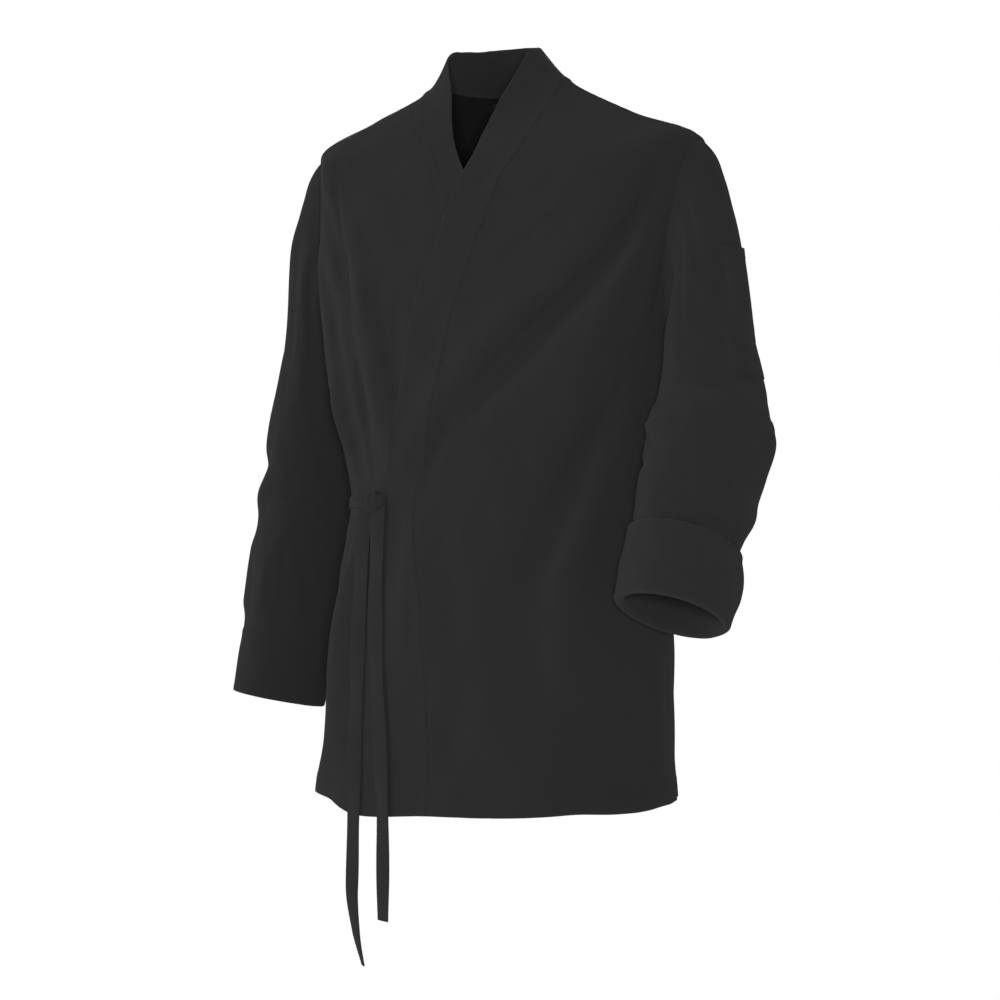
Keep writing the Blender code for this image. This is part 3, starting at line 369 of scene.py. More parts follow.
# fine lines of the mesh lie by every edge and seam, with an even grid between
cut = {
    "spacing": 3.0,         # between lines of the mesh, where nothing finer is asked
    "freeEdge": (0, 0.12, 0.4, 0.8, 1.4, 2.2, 3.2, 4.5, 6, 8),
    "seamEdge": (0, 0.5, 1.1, 1.7, 2.3, 3, 4, 5.5, 7.5),
    "hemEdge": (11, 14, 16.4, 17.3, 17.9, 18.4, 18.9, 19.5, 20.2, 21, 22.4),
    "hemDepth": 20, "hemStitch": 18.4, "seamStitch": 2.2, "armholeStitch": 4.7,
    "panelWall": 1.6, "bandWall": 2.4, "cuffWall": 2.4, "tieWall": 2.0,
}


def evenRows(length, start=(), end=()):  # shares of a length, finer near its ends
    start, end = np.array(start or (0,)), np.array(end or (0,))
    count = int(round((length - start[-1] - end[-1]) / cut["spacing"]))
    middle = np.linspace(start[-1], length - end[-1], count + 1)
    return np.concatenate([start, middle[1:-1], (length - end)[::-1]]) / length


def evenColumns(width, start, end, count):  # the same for each row's own width
    start, end, width = np.array(start), np.array(end), width[:, None]
    middle = np.linspace(0, 1, count + 1)[1:-1][None, :]
    room = width - start[-1] - end[-1]
    return np.concatenate([start / width, (start[-1] + room * middle) / width,
                           (1 - end / width)[:, ::-1]], axis=1)


def rowWidths(rowPoints):
    return np.linalg.norm(np.diff(rowPoints, axis=1), axis=2).sum(axis=1)


def runs(points, axis):  # distance walked along rows or columns
    steps = np.linalg.norm(np.diff(points, axis=axis), axis=2)
    first = np.zeros_like(np.take(steps, [0], axis=axis))
    return np.concatenate([first, np.cumsum(steps, axis=axis)], axis=axis)


def edgeRuns(middle, side=1):  # across, up, down from the top, and from the near and the far end
    across, up = runs(middle, 1), runs(middle, 0)
    back = across[:, -1:] - across
    near, far = (across, back) if side > 0 else (back, across)
    return across, up, up[-1:] - up, near, far


lowShares = evenRows(torsoForm["armpitLevel"], cut["freeEdge"] + cut["hemEdge"])[:-1]
highShares = evenRows(torsoForm["upperRun"], (), cut["seamEdge"])
armRows = slice(len(lowShares), None)

# how cloth rises and dips by its seams, stitches, hems and edges
reliefForm = {
    "dip": -0.06, "dipWidth": 0.9, "swellAt": 4.2, "swellWidth": 3.4,
    "pucker": 0.34, "puckerLength": 13, "puckerReach": 8, "puckerStart": 1.5,
    "stitch": -0.1, "stitchWidth": 0.75, "stitchPitch": 3, "stitchSwing": 0.2,
    "hemStep": 0.32, "hemRamp": 1.2, "roping": (0.26, 11, 1.3, 18.4, 7), "ropingSlant": 0.6,
    "thinnest": 0.2, "wearReach": 1.6,
}


def rounding(distance, wallSize):  # share of the wall left near a free edge
    t = np.clip(distance / (wallSize / 2), 0, 1)
    return np.maximum(np.sqrt(1 - (1 - t) ** 2), reliefForm["thinnest"])


def seamRelief(distance, run, phase, strength=1.0, allowance=0.3):
    form = reliefForm
    pucker = form["pucker"] * strength * ripple(run, form["puckerLength"], 1.1, phase)
    return (form["dip"] * bell(distance, 0, form["dipWidth"])
            + allowance * bell(distance, form["swellAt"], form["swellWidth"])
            + pucker * np.exp(-distance / form["puckerReach"])
            * ease(distance / form["puckerStart"]))


# wave: height, length, drift, where it is strongest and its reach
def pucker(wave, run, distance, phase):
    height, length, drift, at, reach = wave
    return height * ripple(run, length, drift, phase) * bell(distance, at, reach)


# the thread pulls a small channel with a dent at each stitch
def stitchRelief(distance, run, at, phase):
    swing = reliefForm["stitchSwing"]
    dents = 1 - swing + swing * np.cos(2 * np.pi * run / reliefForm["stitchPitch"] + phase)
    return reliefForm["stitch"] * bell(distance, at, reliefForm["stitchWidth"]) * dents


def hemRelief(distance, run, phase):
    form = reliefForm
    turned = 1 - ease((distance - cut["hemDepth"] + form["hemRamp"] / 2) / form["hemRamp"])
    return (form["hemStep"] * turned + stitchRelief(distance, run, cut["hemStitch"], phase)
            + pucker(form["roping"], run + form["ropingSlant"] * distance, distance, phase))


def wearAt(*distances):  # cloth is a little paler where an edge or seam rubs
    return sum(bell(distance, 0, reliefForm["wearReach"]) for distance in distances)


class Wire:  # a socket that can be reckoned with
    def __init__(self, board, socket):
        self.board, self.socket = board, socket

    def reckon(self, kind, first, second):
        return self.board.node("ShaderNodeMath", {"operation": kind}, {0: first, 1: second})

    def __add__(self, other):
        return self.reckon("ADD", self, other)

    def __mul__(self, other):
        return self.reckon("MULTIPLY", self, other)

    __radd__ = __add__
    __rmul__ = __mul__


class Board:  # the nodes of one material or sky
    def __init__(self, owner):
        owner.use_nodes = True
        self.tree = owner.node_tree
        self.tree.nodes.clear()

    def node(self, kind, settings=None, values=None, out=0):
        made = self.tree.nodes.new(kind)
        for name, value in (settings or {}).items():
            setattr(made, name, value)
        for name, value in (values or {}).items():
            if isinstance(value, Wire):
                self.tree.links.new(value.socket, made.inputs[name])
            else:
                made.inputs[name].default_value = value
        return Wire(self, made.outputs[out]) if len(made.outputs) else made


def sine(wire):
    return wire.board.node("ShaderNodeMath", {"operation": "SINE"}, {0: wire})


def mixed(factor, first, second):
    return factor.board.node("ShaderNodeMix", {"data_type": "RGBA"},
                             {"Factor": factor, 6: first, 7: second},
                             out=2)


# paint gives the colour, the roughness and the height of the relief
def makeFinish(name, finish, paint):
    material = bpy.data.materials.new(name)
    board = Board(material)
    colour, roughness, height = paint(board, finish)
    strength, depth = finish["relief"]
    bump = board.node("ShaderNodeBump", None,
                      {"Strength": strength, "Distance": depth, "Height": height})
    shader = board.node("ShaderNodeBsdfPrincipled", None, {
        "Base Color": colour, "Roughness": roughness, "Normal": bump, **finish["shader"]})
    board.node("ShaderNodeOutputMaterial", None, {"Surface": shader})
    material.diffuse_color = finish["light"]
    return material


clothFinish = {
    "dark": (0.0150, 0.0150, 0.0157, 1), "light": (0.0205, 0.0205, 0.0213, 1),
    # inside is painted shade: the colour the back's inner face is darkened to, standing in for the
    # shade inside the jacket
    "worn": (0.026, 0.026, 0.027, 1), "inside": (0.0068, 0.0068, 0.0071, 1),
    "roughness": 0.86, "relief": (0.35, 0.00005), "slubHeight": 0.8,
    "shader": {"Diffuse Roughness": 1.0, "Sheen Weight": 0.004, "Sheen Roughness": 0.5,
               "Specular IOR Level": 0.05},
    "threadPitch": 0.00052, "ribbed": False, "ribShare": 0.4, "waleSlant": 0.7, "wale": 0.65,
    "slub": 0.55, "blotch": 0.35, "slubScale": (1100, 26, 1), "blotchScale": 9.0,
    "weaveTone": 0.1, "rubbedSlub": 0.5, "rubbed": 0.1,
    "blotchRough": 0.1, "slubRough": 0.06, "meanRough": 0.08,
}
threadFinish = {
    "dark": (0.013, 0.013, 0.0135, 1), "light": (0.021, 0.021, 0.022, 1), "roughness": 0.75,
    "relief": (0.3, 0.00005), "shader": {"Specular IOR Level": 0.1}, "twist": 2400,
}


def paintCloth(board, finish):
    uv = board.node("ShaderNodeUVMap", {"uv_map": "clothGrain"})
    u = board.node("ShaderNodeSeparateXYZ", None, {0: uv})
    v = Wire(board, u.socket.node.outputs[1])
    turnRate = 2 * np.pi / finish["threadPitch"]
    if finish["ribbed"]:
        weave = sine(v * (turnRate * finish["ribShare"])) * 0.5 + 0.5
    else:   # a fine twill: slanting wales, each broken up by its threads
        wale = sine((u + v * finish["waleSlant"]) * turnRate)
        thread = sine(v * turnRate)
        weave = (wale * finish["wale"] + thread * (1 - finish["wale"])) * 0.5 + 0.5
    stretched = board.node("ShaderNodeMapping", None, {"Vector": uv, "Scale": finish["slubScale"]})
    slub, blotch = (board.node("ShaderNodeTexNoise", None,
                               {"Vector": at, "Scale": scale, "Detail": detail})
                    for at, scale, detail in ((stretched, 1.0, 2.0),
                                              (uv, finish["blotchScale"], 3.0)))
    # the paintedInsideShadeMask mask marks where painted shade darkens the back's inner face;
    # edgeWear is wear at edges and seams
    wear, inside = (board.node("ShaderNodeAttribute",
                               {"attribute_type": "GEOMETRY", "attribute_name": kind},
                               out=2) for kind in ("edgeWear", "paintedInsideShadeMask"))
    tone = slub * finish["slub"] + blotch * finish["blotch"] + weave * finish["weaveTone"]
    colour = mixed(tone, finish["dark"], finish["light"])
    rubbing = wear * (slub * finish["rubbedSlub"] + finish["rubbed"])
    rubbed = mixed(rubbing, colour, finish["worn"])
    # painted shade: the back's inner face is mixed towards the dark inside colour
    shadedInside = mixed(inside, rubbed, finish["inside"])
    roughness = (blotch * finish["blotchRough"] + slub * finish["slubRough"]
                 + (finish["roughness"] - finish["meanRough"]))
    return shadedInside, roughness, weave + slub * finish["slubHeight"]


def paintThread(board, finish):
    place = board.node("ShaderNodeTexCoord", out=3)
    noise = board.node("ShaderNodeTexNoise", None, {"Vector": place, "Scale": finish["twist"]})
    return mixed(noise, finish["dark"], finish["light"]), noise * 0.1 + finish["roughness"], noise


jacketCloth = makeFinish("jacketCloth", clothFinish, paintCloth)
tieCloth = makeFinish("tieCloth", dict(clothFinish, roughness=0.8), paintCloth)
loopTape = makeFinish("loopTape", dict(
    clothFinish, dark=(0.009, 0.009, 0.0095, 1), light=(0.014, 0.014, 0.0145, 1), ribbed=True,
    threadPitch=0.0012, relief=(0.35, 0.0001)), paintCloth)
sewingThread = makeFinish("sewingThread", threadFinish, paintThread)
print("finishes made")


def makeMesh(name, points, faces, finish):
    mesh = bpy.data.meshes.new(name)
    mesh.from_pydata((points * mm).tolist(), [], faces)
    mesh.shade_smooth()
    mesh.materials.append(finish)
    piece = bpy.data.objects.new(name, mesh)
    bpy.context.scene.collection.objects.link(piece)
    print(name, "made,", len(faces), "faces")
    return piece


def clothShell(name, middle, normal, wallSize, outerRelief=0.0, innerRelief=0.0, left=1.0, wear=0.0,
               ring=False, finish=jacketCloth, paintedInsideShade=0.0):
    # closed wall round a grid of middle points; left is the share of the wall near free edges; the
    # inner face can be darkened as painted shade
    rows, columns = middle.shape[:2]
    count, last = rows * columns, columns if ring else columns - 1
    even = np.zeros((rows, columns))
    half = wallSize / 2 * (even + left)
    outer = middle + (half + outerRelief)[..., None] * normal
    inner = middle + (innerRelief - half)[..., None] * normal
    around = runs(np.concatenate([middle, middle[:, :1]], axis=1) if ring else middle, 1)
    centre = columns // 2
    down = runs(middle, 0)[:, centre:centre + 1]
    flat = np.stack([around - around[:, centre:centre + 1], down + 0 * around], -1)
    r, c = (k.ravel() for k in np.meshgrid(np.arange(rows - 1), np.arange(last), indexing="ij"))
    corners = ((0, 0), (0, 1), (1, 1), (1, 0))
    grid = np.stack([(r + i) * columns + (c + j) % columns for i, j in corners], 1)
    gridUv = np.stack([flat[r + i, c + j] for i, j in corners], 1)
    faces, uv = [grid, grid[:, ::-1] + count], [gridUv, gridUv[:, ::-1]]
    rims = [[(0, k) for k in range(last + 1)], [(rows - 1, k) for k in range(last, -1, -1)]]
    if not ring:
        rims += [[(k, 0) for k in range(rows - 1, -1, -1)], [(k, columns - 1) for k in range(rows)]]
    for rim in rims:
        row, column = np.array(rim).T
        line, place = row * columns + column % columns, flat[row, column]
        faces.append(np.stack([line[1:], line[:-1], line[:-1] + count, line[1:] + count], 1))
        uv.append(np.stack([place[1:], place[:-1], place[:-1] + 1, place[1:] + 1], 1))
    points = np.concatenate([outer.reshape(-1, 3), inner.reshape(-1, 3)])
    piece = makeMesh(name, points, np.concatenate(faces).tolist(), finish)
    grain = piece.data.uv_layers.new(name="clothGrain").uv
    grain.foreach_set("vector", (np.concatenate(uv) * mm).ravel())
    # paintedInsideShadeMask holds the painted shade of the inner face, from paintedInsideShade on
    # the inner points
    for label, values in (("edgeWear", np.tile((even + wear).ravel(), 2)),
                          ("paintedInsideShadeMask", np.repeat([0.0, paintedInsideShade], count))):
        piece.data.attributes.new(label, "FLOAT", "POINT").data.foreach_set("value", values)
    return piece, outer


stitchLines = {"band": [], "hem": [], "armhole": [], "shoulder": [], "cuff": [], "pocket": [],
               "tie": []}


def stitchAlong(kind, grid, normal, distance, axis, fromEnd=False):
    # keeps the line that runs at a distance from a grid's edge, with the surface's normals
    if axis == 0:   # distance walked down the columns from the first or last row
        grid, normal = grid.swapaxes(0, 1), normal.swapaxes(0, 1)
    if fromEnd:
        grid, normal = grid[:, ::-1], normal[:, ::-1]
    walked = runs(grid, 1)
    line, facing = (np.array([[np.interp(distance, walked[k], values[k, :, j]) for j in range(3)]
                              for k in range(len(grid))]) for values in (grid, normal))
    stitchLines[kind].append((line, unit(facing)))


def between(first, last, start, end, count, tries):  # places between two lines of the cut
    def at(share):
        return [one[:, None] * (1 - share) + other[:, None] * share
                for one, other in zip(first, last)]
    width = rowWidths(torsoBase(*at(np.linspace(0, 1, tries))))
    return at(evenColumns(width, start, end, count))


# lets the hem down to its line and lays the places on the body
def layOnBody(side, angle, level, fade):
    level = level + fade[:, None] * (hemLevel(angle[0]) - level[0])
    if side < 0:
        angle, level = angle[:, ::-1], level[:, ::-1]
    normal = normalsOf(torso, angle, level)
    lift = lapLift(angle, level) if side > 0 else tuckIn(angle, level)
    return torso(angle, level) + lift[..., None] * normal, normal, torsoCreases(angle, level), level


frontForm = {
    "names": {1: "frontLeftCloth", -1: "frontRightCloth"},
    "columns": 62, "tries": 25, "bandSeam": (1.6, 0.1), "shoulderPucker": 0.7,
    "wear": 0.8, "sideWear": 0.4,
}


def makeFront(side):
    form = frontForm
    seamAngle, seamLevel, _, _ = bandLines(side)
    edgeAngle, edgeLevel = sideLine(side, -torsoForm["frontArmhole"])
    angle, level = between((seamAngle, seamLevel), (side * edgeAngle, edgeLevel), cut["seamEdge"],
                           cut["seamEdge"], form["columns"], form["tries"])
    fade = np.concatenate([1 - lowShares, np.zeros(len(highShares))])
    middle, normal, fine, _ = layOnBody(side, angle, level, fade)
    across, up, top, bandSide, sideSide = edgeRuns(middle, side)
    relief = (seamRelief(bandSide, up, 0.3 + side, *form["bandSeam"])
              + seamRelief(sideSide, up, 1.7 + side)
              + seamRelief(top, across, 2.9 + side, form["shoulderPucker"])
              + hemRelief(up, across, side))
    wear = wearAt(up, top) * form["wear"] + form["sideWear"] * wearAt(sideSide)
    piece, outer = clothShell(form["names"][side], middle, normal, cut["panelWall"],
                              fine + relief, fine, rounding(up, cut["panelWall"]), wear)
    stitchAlong("hem", outer, normal, cut["hemStitch"], 0)
    stitchAlong("shoulder", outer, normal, cut["seamStitch"], 0, True)
    stitchAlong("armhole", outer[armRows], normal[armRows], cut["armholeStitch"], 1, side > 0)
    return piece


frontLeft, frontRight = makeFront(1), makeFront(-1)

backForm = {
    "shoulderColumns": 34, "neckColumns": 60, "tries": 9, "shoulderPucker": 0.8, "wear": 0.8,
}


def makeBack():
    form, corner = backForm, torsoForm["backCorner"]
    edgeAngle, edgeLevel = sideLine(1, torsoForm["backArmhole"])
    rise = np.concatenate([np.zeros(len(lowShares)), highShares ** torsoForm["backFlare"]])[:, None]

    def place(share):
        neckShare = np.clip((share - corner) / (1 - 2 * corner), 0, 1)
        climb = np.clip(np.minimum(share, 1 - share) / corner, 0, 1)
        mixedShare = (1 - rise) * share + rise * neckShare
        first = edgeAngle[:, None]
        neckRise = torsoForm["neckLevel"] - torsoForm["shoulderLevel"]
        return (first + (360 - 2 * first) * mixedShare,
                edgeLevel[:, None] + rise * climb * neckRise)

    guess = np.linspace(0, corner, form["tries"])[None, :] + np.zeros((len(rise), 1))
    width = rowWidths(torsoBase(*place(guess))) / corner
    seam = np.array(cut["seamEdge"])[None, :] / width[:, None]
    steps = np.linspace(0, 1, form["shoulderColumns"] + 1)[None, 1:]
    near = np.concatenate([seam, towards(seam[:, -1:], corner, steps)], axis=1)
    neck = corner + (1 - 2 * corner) * np.linspace(0, 1, form["neckColumns"] + 1)[1:-1]
    share = np.concatenate([near, np.repeat(neck[None, :], len(near), 0), 1 - near[:, ::-1]],
                           axis=1)
    angle, level = place(share)
    fade = np.concatenate([1 - lowShares, np.zeros(len(highShares))])[:, None]
    level = level + fade * (hemLevel(angle[0]) - hemLevel(90.0))
    middle, normal = torso(angle, level), normalsOf(torso, angle, level)
    fine = torsoCreases(angle, level)
    across, up, top, near, far = edgeRuns(middle)
    relief = (seamRelief(near, up, 0.9) + seamRelief(far, up, 2.2)
              + seamRelief(top, across, 0.1, form["shoulderPucker"]) + hemRelief(up, across, 2.0))
    # the back's inner face gets full painted shade, darkened as if in the jacket's own shadow
    piece, outer = clothShell("backCloth", middle, normal, cut["panelWall"],
                              fine + relief, fine, rounding(up, cut["panelWall"]),
                              wearAt(up) * form["wear"], paintedInsideShade=1.0)
    stitchAlong("hem", outer, normal, cut["hemStitch"], 0)
    for fromEnd in (False, True):
        stitchAlong("armhole", outer[armRows], normal[armRows], cut["armholeStitch"], 1, fromEnd)
    return piece


back = makeBack()

bandForm = {
    "names": {1: "bandLeftCloth", -1: "bandRightCloth"},
    "columns": 10, "tries": 9, "collarRun": 118, "hemFade": 16, "seam": (0, 0.55),
    "pull": (0.45, 15, 1.2, 4, 9), "pullSlant": 0.5, "pullStart": 2,
    # most puckered just below the crossing
    "crossing": 640, "crossingWidth": 60, "crossingPull": 1.8,
    "edgeWave": 0.22, "edgeWaveLength": 36, "edgeWaveDrift": 1.0, "edgeWaveReach": 12,
    "topSeam": (0.5, 0.2), "topSeamReach": 40, "swellAt": 3, "swellWear": 0.5,
}


def makeBand(side):
    form, collar = bandForm, collarForms[side]
    seam = 90 + 90 * evenRows(form["collarRun"], (), cut["seamEdge"])[1:]
    seamAngle, seamLevel, edgeAngle, edgeLevel = bandLines(side)
    seamLine = (np.concatenate([seamAngle, side * seam]),
                np.concatenate([seamLevel, np.full(len(seam), float(torsoForm["neckLevel"]))]))
    edgeLine = (np.concatenate([edgeAngle, side * readColumn(collar, "edgeAngle", seam)]),
                np.concatenate([edgeLevel, readColumn(collar, "edgeLevel", seam)]))
    angle, level = between(edgeLine, seamLine, cut["freeEdge"], cut["seamEdge"],
                           form["columns"], form["tries"])
    shares = np.concatenate([lowShares, np.ones(len(level) - len(lowShares))])
    fade = np.clip(1 - form["hemFade"] * shares, 0, 1)
    middle, normal, fine, level = layOnBody(side, angle, level, fade)
    across, up, top, edgeSide, seamSide = edgeRuns(middle, side)
    drawn = 1 + form["crossingPull"] * bell(level, form["crossing"], form["crossingWidth"])
    pulled = pucker(form["pull"], up + form["pullSlant"] * seamSide, seamSide, side) * drawn
    wave = form["edgeWave"] * ripple(up, form["edgeWaveLength"], form["edgeWaveDrift"], 2 + side)
    topSeam = seamRelief(top, across, 1.0, *form["topSeam"])
    relief = (seamRelief(seamSide, up, 0.3 + side, *form["seam"])
              + pulled * ease(seamSide / form["pullStart"])
              + stitchRelief(seamSide, up, cut["seamStitch"], side)
              + wave * np.exp(-edgeSide / form["edgeWaveReach"])
              + np.where(top < form["topSeamReach"], topSeam, 0)
              + hemRelief(up, across, side))
    piece, outer = clothShell(form["names"][side], middle, normal, cut["bandWall"],
                              fine + relief, fine,
                              rounding(edgeSide, cut["bandWall"]) * rounding(up, cut["bandWall"]),
                              wearAt(edgeSide, up)
                              + form["swellWear"] * wearAt(seamSide - form["swellAt"]))
    stitchAlong("band", outer, normal, cut["seamStitch"], 1, side > 0)
    stitchAlong("hem", outer, normal, cut["hemStitch"], 0)
    return piece


bandLeft, bandRight = makeBand(1), makeBand(-1)

armColumns = ("run", "out", "y", "z", "across", "deep")
sleeveForms = {
    1: {
        "name": "sleeveLeftCloth", "columns": armColumns, "end": 250, "fullness": 0.4,
        "rows": (
            (0, 226, -6, -262, 36, 67), (56, 234, -15, -318, 47, 70), (98, 235, -27, -358, 56, 77),
            (150, 229, -43, -407, 52, 73), (186, 225, -55, -440, 48, 67),
            (208, 224, -63, -461, 45, 61), (235, 226, -73, -485, 45, 55),
            (276, 224, -89, -521, 46, 51),
        ),
        "folds": (
            (60, 50, -40, 98, 10, 4, 14, 16), (75, 92, -30, 140, 8, -4, 12, 14),
            (80, 120, -55, 165, 10, 4, 13, 16), (100, 176, -20, 200, -6, -4, 12, 12),
            (40, -150, 50, 40, 0, 4, 16, 18), (10, -120, 20, 60, 0, -4, 16, 18),
            (-60, -100, -90, 60, 0, 5, 20, 18), (-100, 60, -150, 160, 0, 4, 18, 16),
        ),
        "creases": (
            (104, -150, 134, -8, 0, -4.6, 9, 11, 0.2), (102, 42, -12, 88, 4, -4.2, 12, 10, -0.3),
            (28, -60, 6, 24, 0, 2.6, 13, 13, 0), (-8, 138, 42, 184, 0, 2.6, 9, 9, -0.3),
            (79, -165, 75, -30, 3, 2.3, 6, 5, 0.3), (66, -170, 62, -26, 2, -2.4, 7, 6, 0.3),
            (96, -120, 84, 30, 3, -2.4, 5, 6, 0.3), (112, -90, 96, 60, 3, 2.3, 6, 6, 0),
            (40, 34, -28, 56, 5, -3.0, 5, 4, 0.5), (52, 58, -34, 80, 6, 2.2, 5, 4, 0.3),
            (58, 80, -22, 101, 6, -3.4, 5, 4, 0.5), (66, 108, -14, 124, 5, 2.2, 5, 5, 0.2),
            (60, 126, -26, 140, 4, -2.7, 5, 4, 0.5), (30, 16, -22, 28, 3, -1.9, 4, 4, 0.3),
            (148, 66, 84, 92, 4, -3.5, 5, 5, 0.4), (156, 92, 92, 114, 4, 2.8, 6, 5, 0.2),
            (150, 112, 98, 132, 3, -3.4, 5, 5, 0.4), (168, 132, 118, 150, 2, -2.4, 5, 5, 0.2),
            (12, 176, 64, 206, -3, -3.6, 6, 6, 0.4), (40, 150, 84, 184, 0, 1.9, 6, 6, 0),
            (-40, 60, -110, 84, 0, -2.2, 6, 6, 0.2), (-50, 110, -130, 128, 0, -2.3, 6, 6, 0.2),
            (-70, -140, -62, 20, 0, -1.9, 7, 8, 0), (-140, -90, -128, 60, 0, 2.2, 7, 8, 0),
            (178, -60, 168, 40, 0, -2.3, 6, 6, 0), (28, -60, 34, 0, 0, 1.4, 6, 6, 0),
        ),
    },
    -1: {
        "name": "sleeveRightCloth", "columns": armColumns, "end": 295, "fullness": 0.75,
        "rows": (
            (0, 226, 43, -262, 36, 67), (67, 236, 45, -329, 46, 70), (111, 242, 44, -373, 50, 71),
            (187, 254, 38, -449, 48, 65), (264, 264, 28, -526, 47, 60),
            (295, 268, 25, -556, 46, 57),
            (362, 279, 18, -622, 45, 55),
        ),
        "folds": (
            (50, -140, 40, 130, 0, 5, 18, 16), (15, -100, 18, 160, 0, -5, 16, 16),
            (-30, -120, -24, 200, 0, 4, 18, 18), (70, 110, -30, 140, 6, -4, 12, 14),
            (80, 140, -20, 172, 6, 4, 12, 14), (-90, -40, -100, 120, 0, 4, 20, 20),
            (35, 190, 30, 290, 0, 4, 14, 16), (-140, 20, -130, 260, 0, 4, 18, 18),
        ),
        "creases": (
            (112, -150, 104, 40, 3, -1.7, 6, 6, 0.3), (92, -130, 96, 90, 3, 1.4, 6, 7, 0),
            (136, -60, 124, 90, 0, 1.3, 6, 7, 0), (74, -110, 70, 60, 0, -1.4, 6, 7, 0.2),
            (148, 84, 78, 112, 5, -2.0, 5, 5, 0.4), (142, 118, 74, 140, 5, 1.4, 5, 6, 0.2),
            (128, 140, 60, 164, 5, -1.8, 5, 5, 0.4), (160, 60, 112, 78, 3, -1.4, 5, 5, 0.2),
            (104, 196, 112, 286, 0, -1.4, 6, 5, 0), (80, 210, 86, 290, 0, 1.2, 6, 5, 0),
            (132, 216, 128, 291, 0, 1.2, 6, 5, 0), (60, 226, 56, 292, 0, -1.2, 5, 5, 0),
            (148, 236, 150, 292, 0, -1.3, 5, 5, 0), (30, 60, -40, 88, 4, -1.7, 6, 5, 0.3),
            (24, 176, -44, 196, 4, -1.4, 6, 6, 0.3), (-60, 80, -120, 104, 0, -1.6, 6, 6, 0.2),
            (-66, -130, -60, 30, 0, -1.3, 7, 8, 0), (-130, -80, -122, 70, 0, 1.4, 7, 8, 0),
            (8, 220, 4, 292, 0, -1.2, 5, 5, 0), (-60, 226, -56, 292, 0, 1.0, 6, 5, 0),
            (-110, 216, -114, 292, 0, -1.2, 6, 5, 0), (178, -70, 170, 60, 0, -1.6, 6, 6, 0),
        ),
    },
}

armForm = {
    "step": 12, "foldRadius": 57, "columnsPerHalf": 65, "capRows": 52, "sideFullness": 0.85,
    "lean": {"side": 0.28, "top": -0.4, "under": -0.17},
    "drop": {"side": 1.0, "top": 1.3},
    "cuffCalm": 30, "seamBlend": 5, "seamCalm": 30, "endCalm": 12, "endShare": 0.25,
    "headSeam": (1.2, 0.2), "endSeam": (1.2, 0.1), "wear": 0.4,
    "gathers": (0.5, 17, 1.0, 12, 14),      # ease taken in at the sleeve's head
    "slack": ((5, 4.0, 0.4, 0.5), (8, -7.0, 0.3, 2.0), (13, 11.0, 0.2, 3.3),
              (17, -16.0, 0.13, 1.1)),
}
armTurns = np.linspace(0, 360, 2 * armForm["columnsPerHalf"], endpoint=False)


def armFrame(side, run):
    table, step = sleeveForms[side], armForm["step"]
    run = np.asarray(run, float)

    def place(at):
        out, y, z = (readColumn(table, name, at) for name in ("out", "y", "z"))
        return np.stack([side * out, y, z], -1)

    down = unit(place(run + step) - place(run - step))
    outward = np.zeros(down.shape)
    outward[..., 0] = side
    outward = unit(outward - (outward * down).sum(-1, keepdims=True) * down)
    forward = side * np.cross(outward, down)
    forward = np.where(forward[..., 1:2] > 0, -forward, forward)
    across, deep = (readColumn(table, name, run) for name in ("across", "deep"))
    return place(run), outward, forward, down, across, deep


def armRing(side, run, standOff=0.0):
    run = run + 0 * armTurns
    middle, outward, forward, _, across, deep = armFrame(side, run)
    turn = np.radians(armTurns + 0 * run)
    return (middle + ((across + standOff) * np.cos(turn))[..., None] * outward
            + ((deep + standOff) * np.sin(turn))[..., None] * forward)


def gridNormals(rows, side):
    around = np.roll(rows, -1, axis=1) - np.roll(rows, 1, axis=1)
    return side * unit(np.cross(around, np.gradient(rows, axis=0)))


def capRows(side):  # the sleeve's head, from the armhole's seam to the first ring of the arm
    shares = np.linspace(0, 1, armForm["columnsPerHalf"] + 1)
    frontAngle, frontLevel = armholeLine(-torsoForm["frontArmhole"], shares)
    backAngle, backLevel = armholeLine(torsoForm["backArmhole"], shares)
    angle = side * np.concatenate([frontAngle[::-1], backAngle[1:-1]])
    level = np.concatenate([frontLevel[::-1], backLevel[1:-1]])
    normal = normalsOf(torso, angle, level)
    start = torso(angle, level)
    if side > 0:
        start = start + lapLift(angle, level)[:, None] * normal
    begin = np.zeros(len(armTurns))
    end, down = armRing(side, begin), armFrame(side, begin)[3]
    reach = np.linalg.norm(end - start, axis=1, keepdims=True)
    radial = unit((start - start.mean(axis=0)) * np.array([0, 1, 1]))
    top, under = (np.clip(way * np.cos(np.radians(armTurns)), 0, 1)[:, None] for way in (1, -1))
    lean, drop = armForm["lean"], armForm["drop"]
    tilt = towards(lean["side"], lean["top"], top) + (lean["under"] - lean["side"]) * under
    away = unit(np.array([float(side), 0, 0]) + tilt * radial)
    fullness = towards(armForm["sideFullness"], sleeveForms[side]["fullness"], top)
    fineStart = np.array(cut["seamEdge"]) / reach.mean()
    t = np.concatenate([fineStart, np.linspace(fineStart[-1], 1, armForm["capRows"] + 1)[1:]])
    rows = hermite(start, away * reach * fullness, end,
                   down * reach * towards(drop["side"], drop["top"], top), t[:, None, None])
    return rows, normal, t, reach[:, 0]


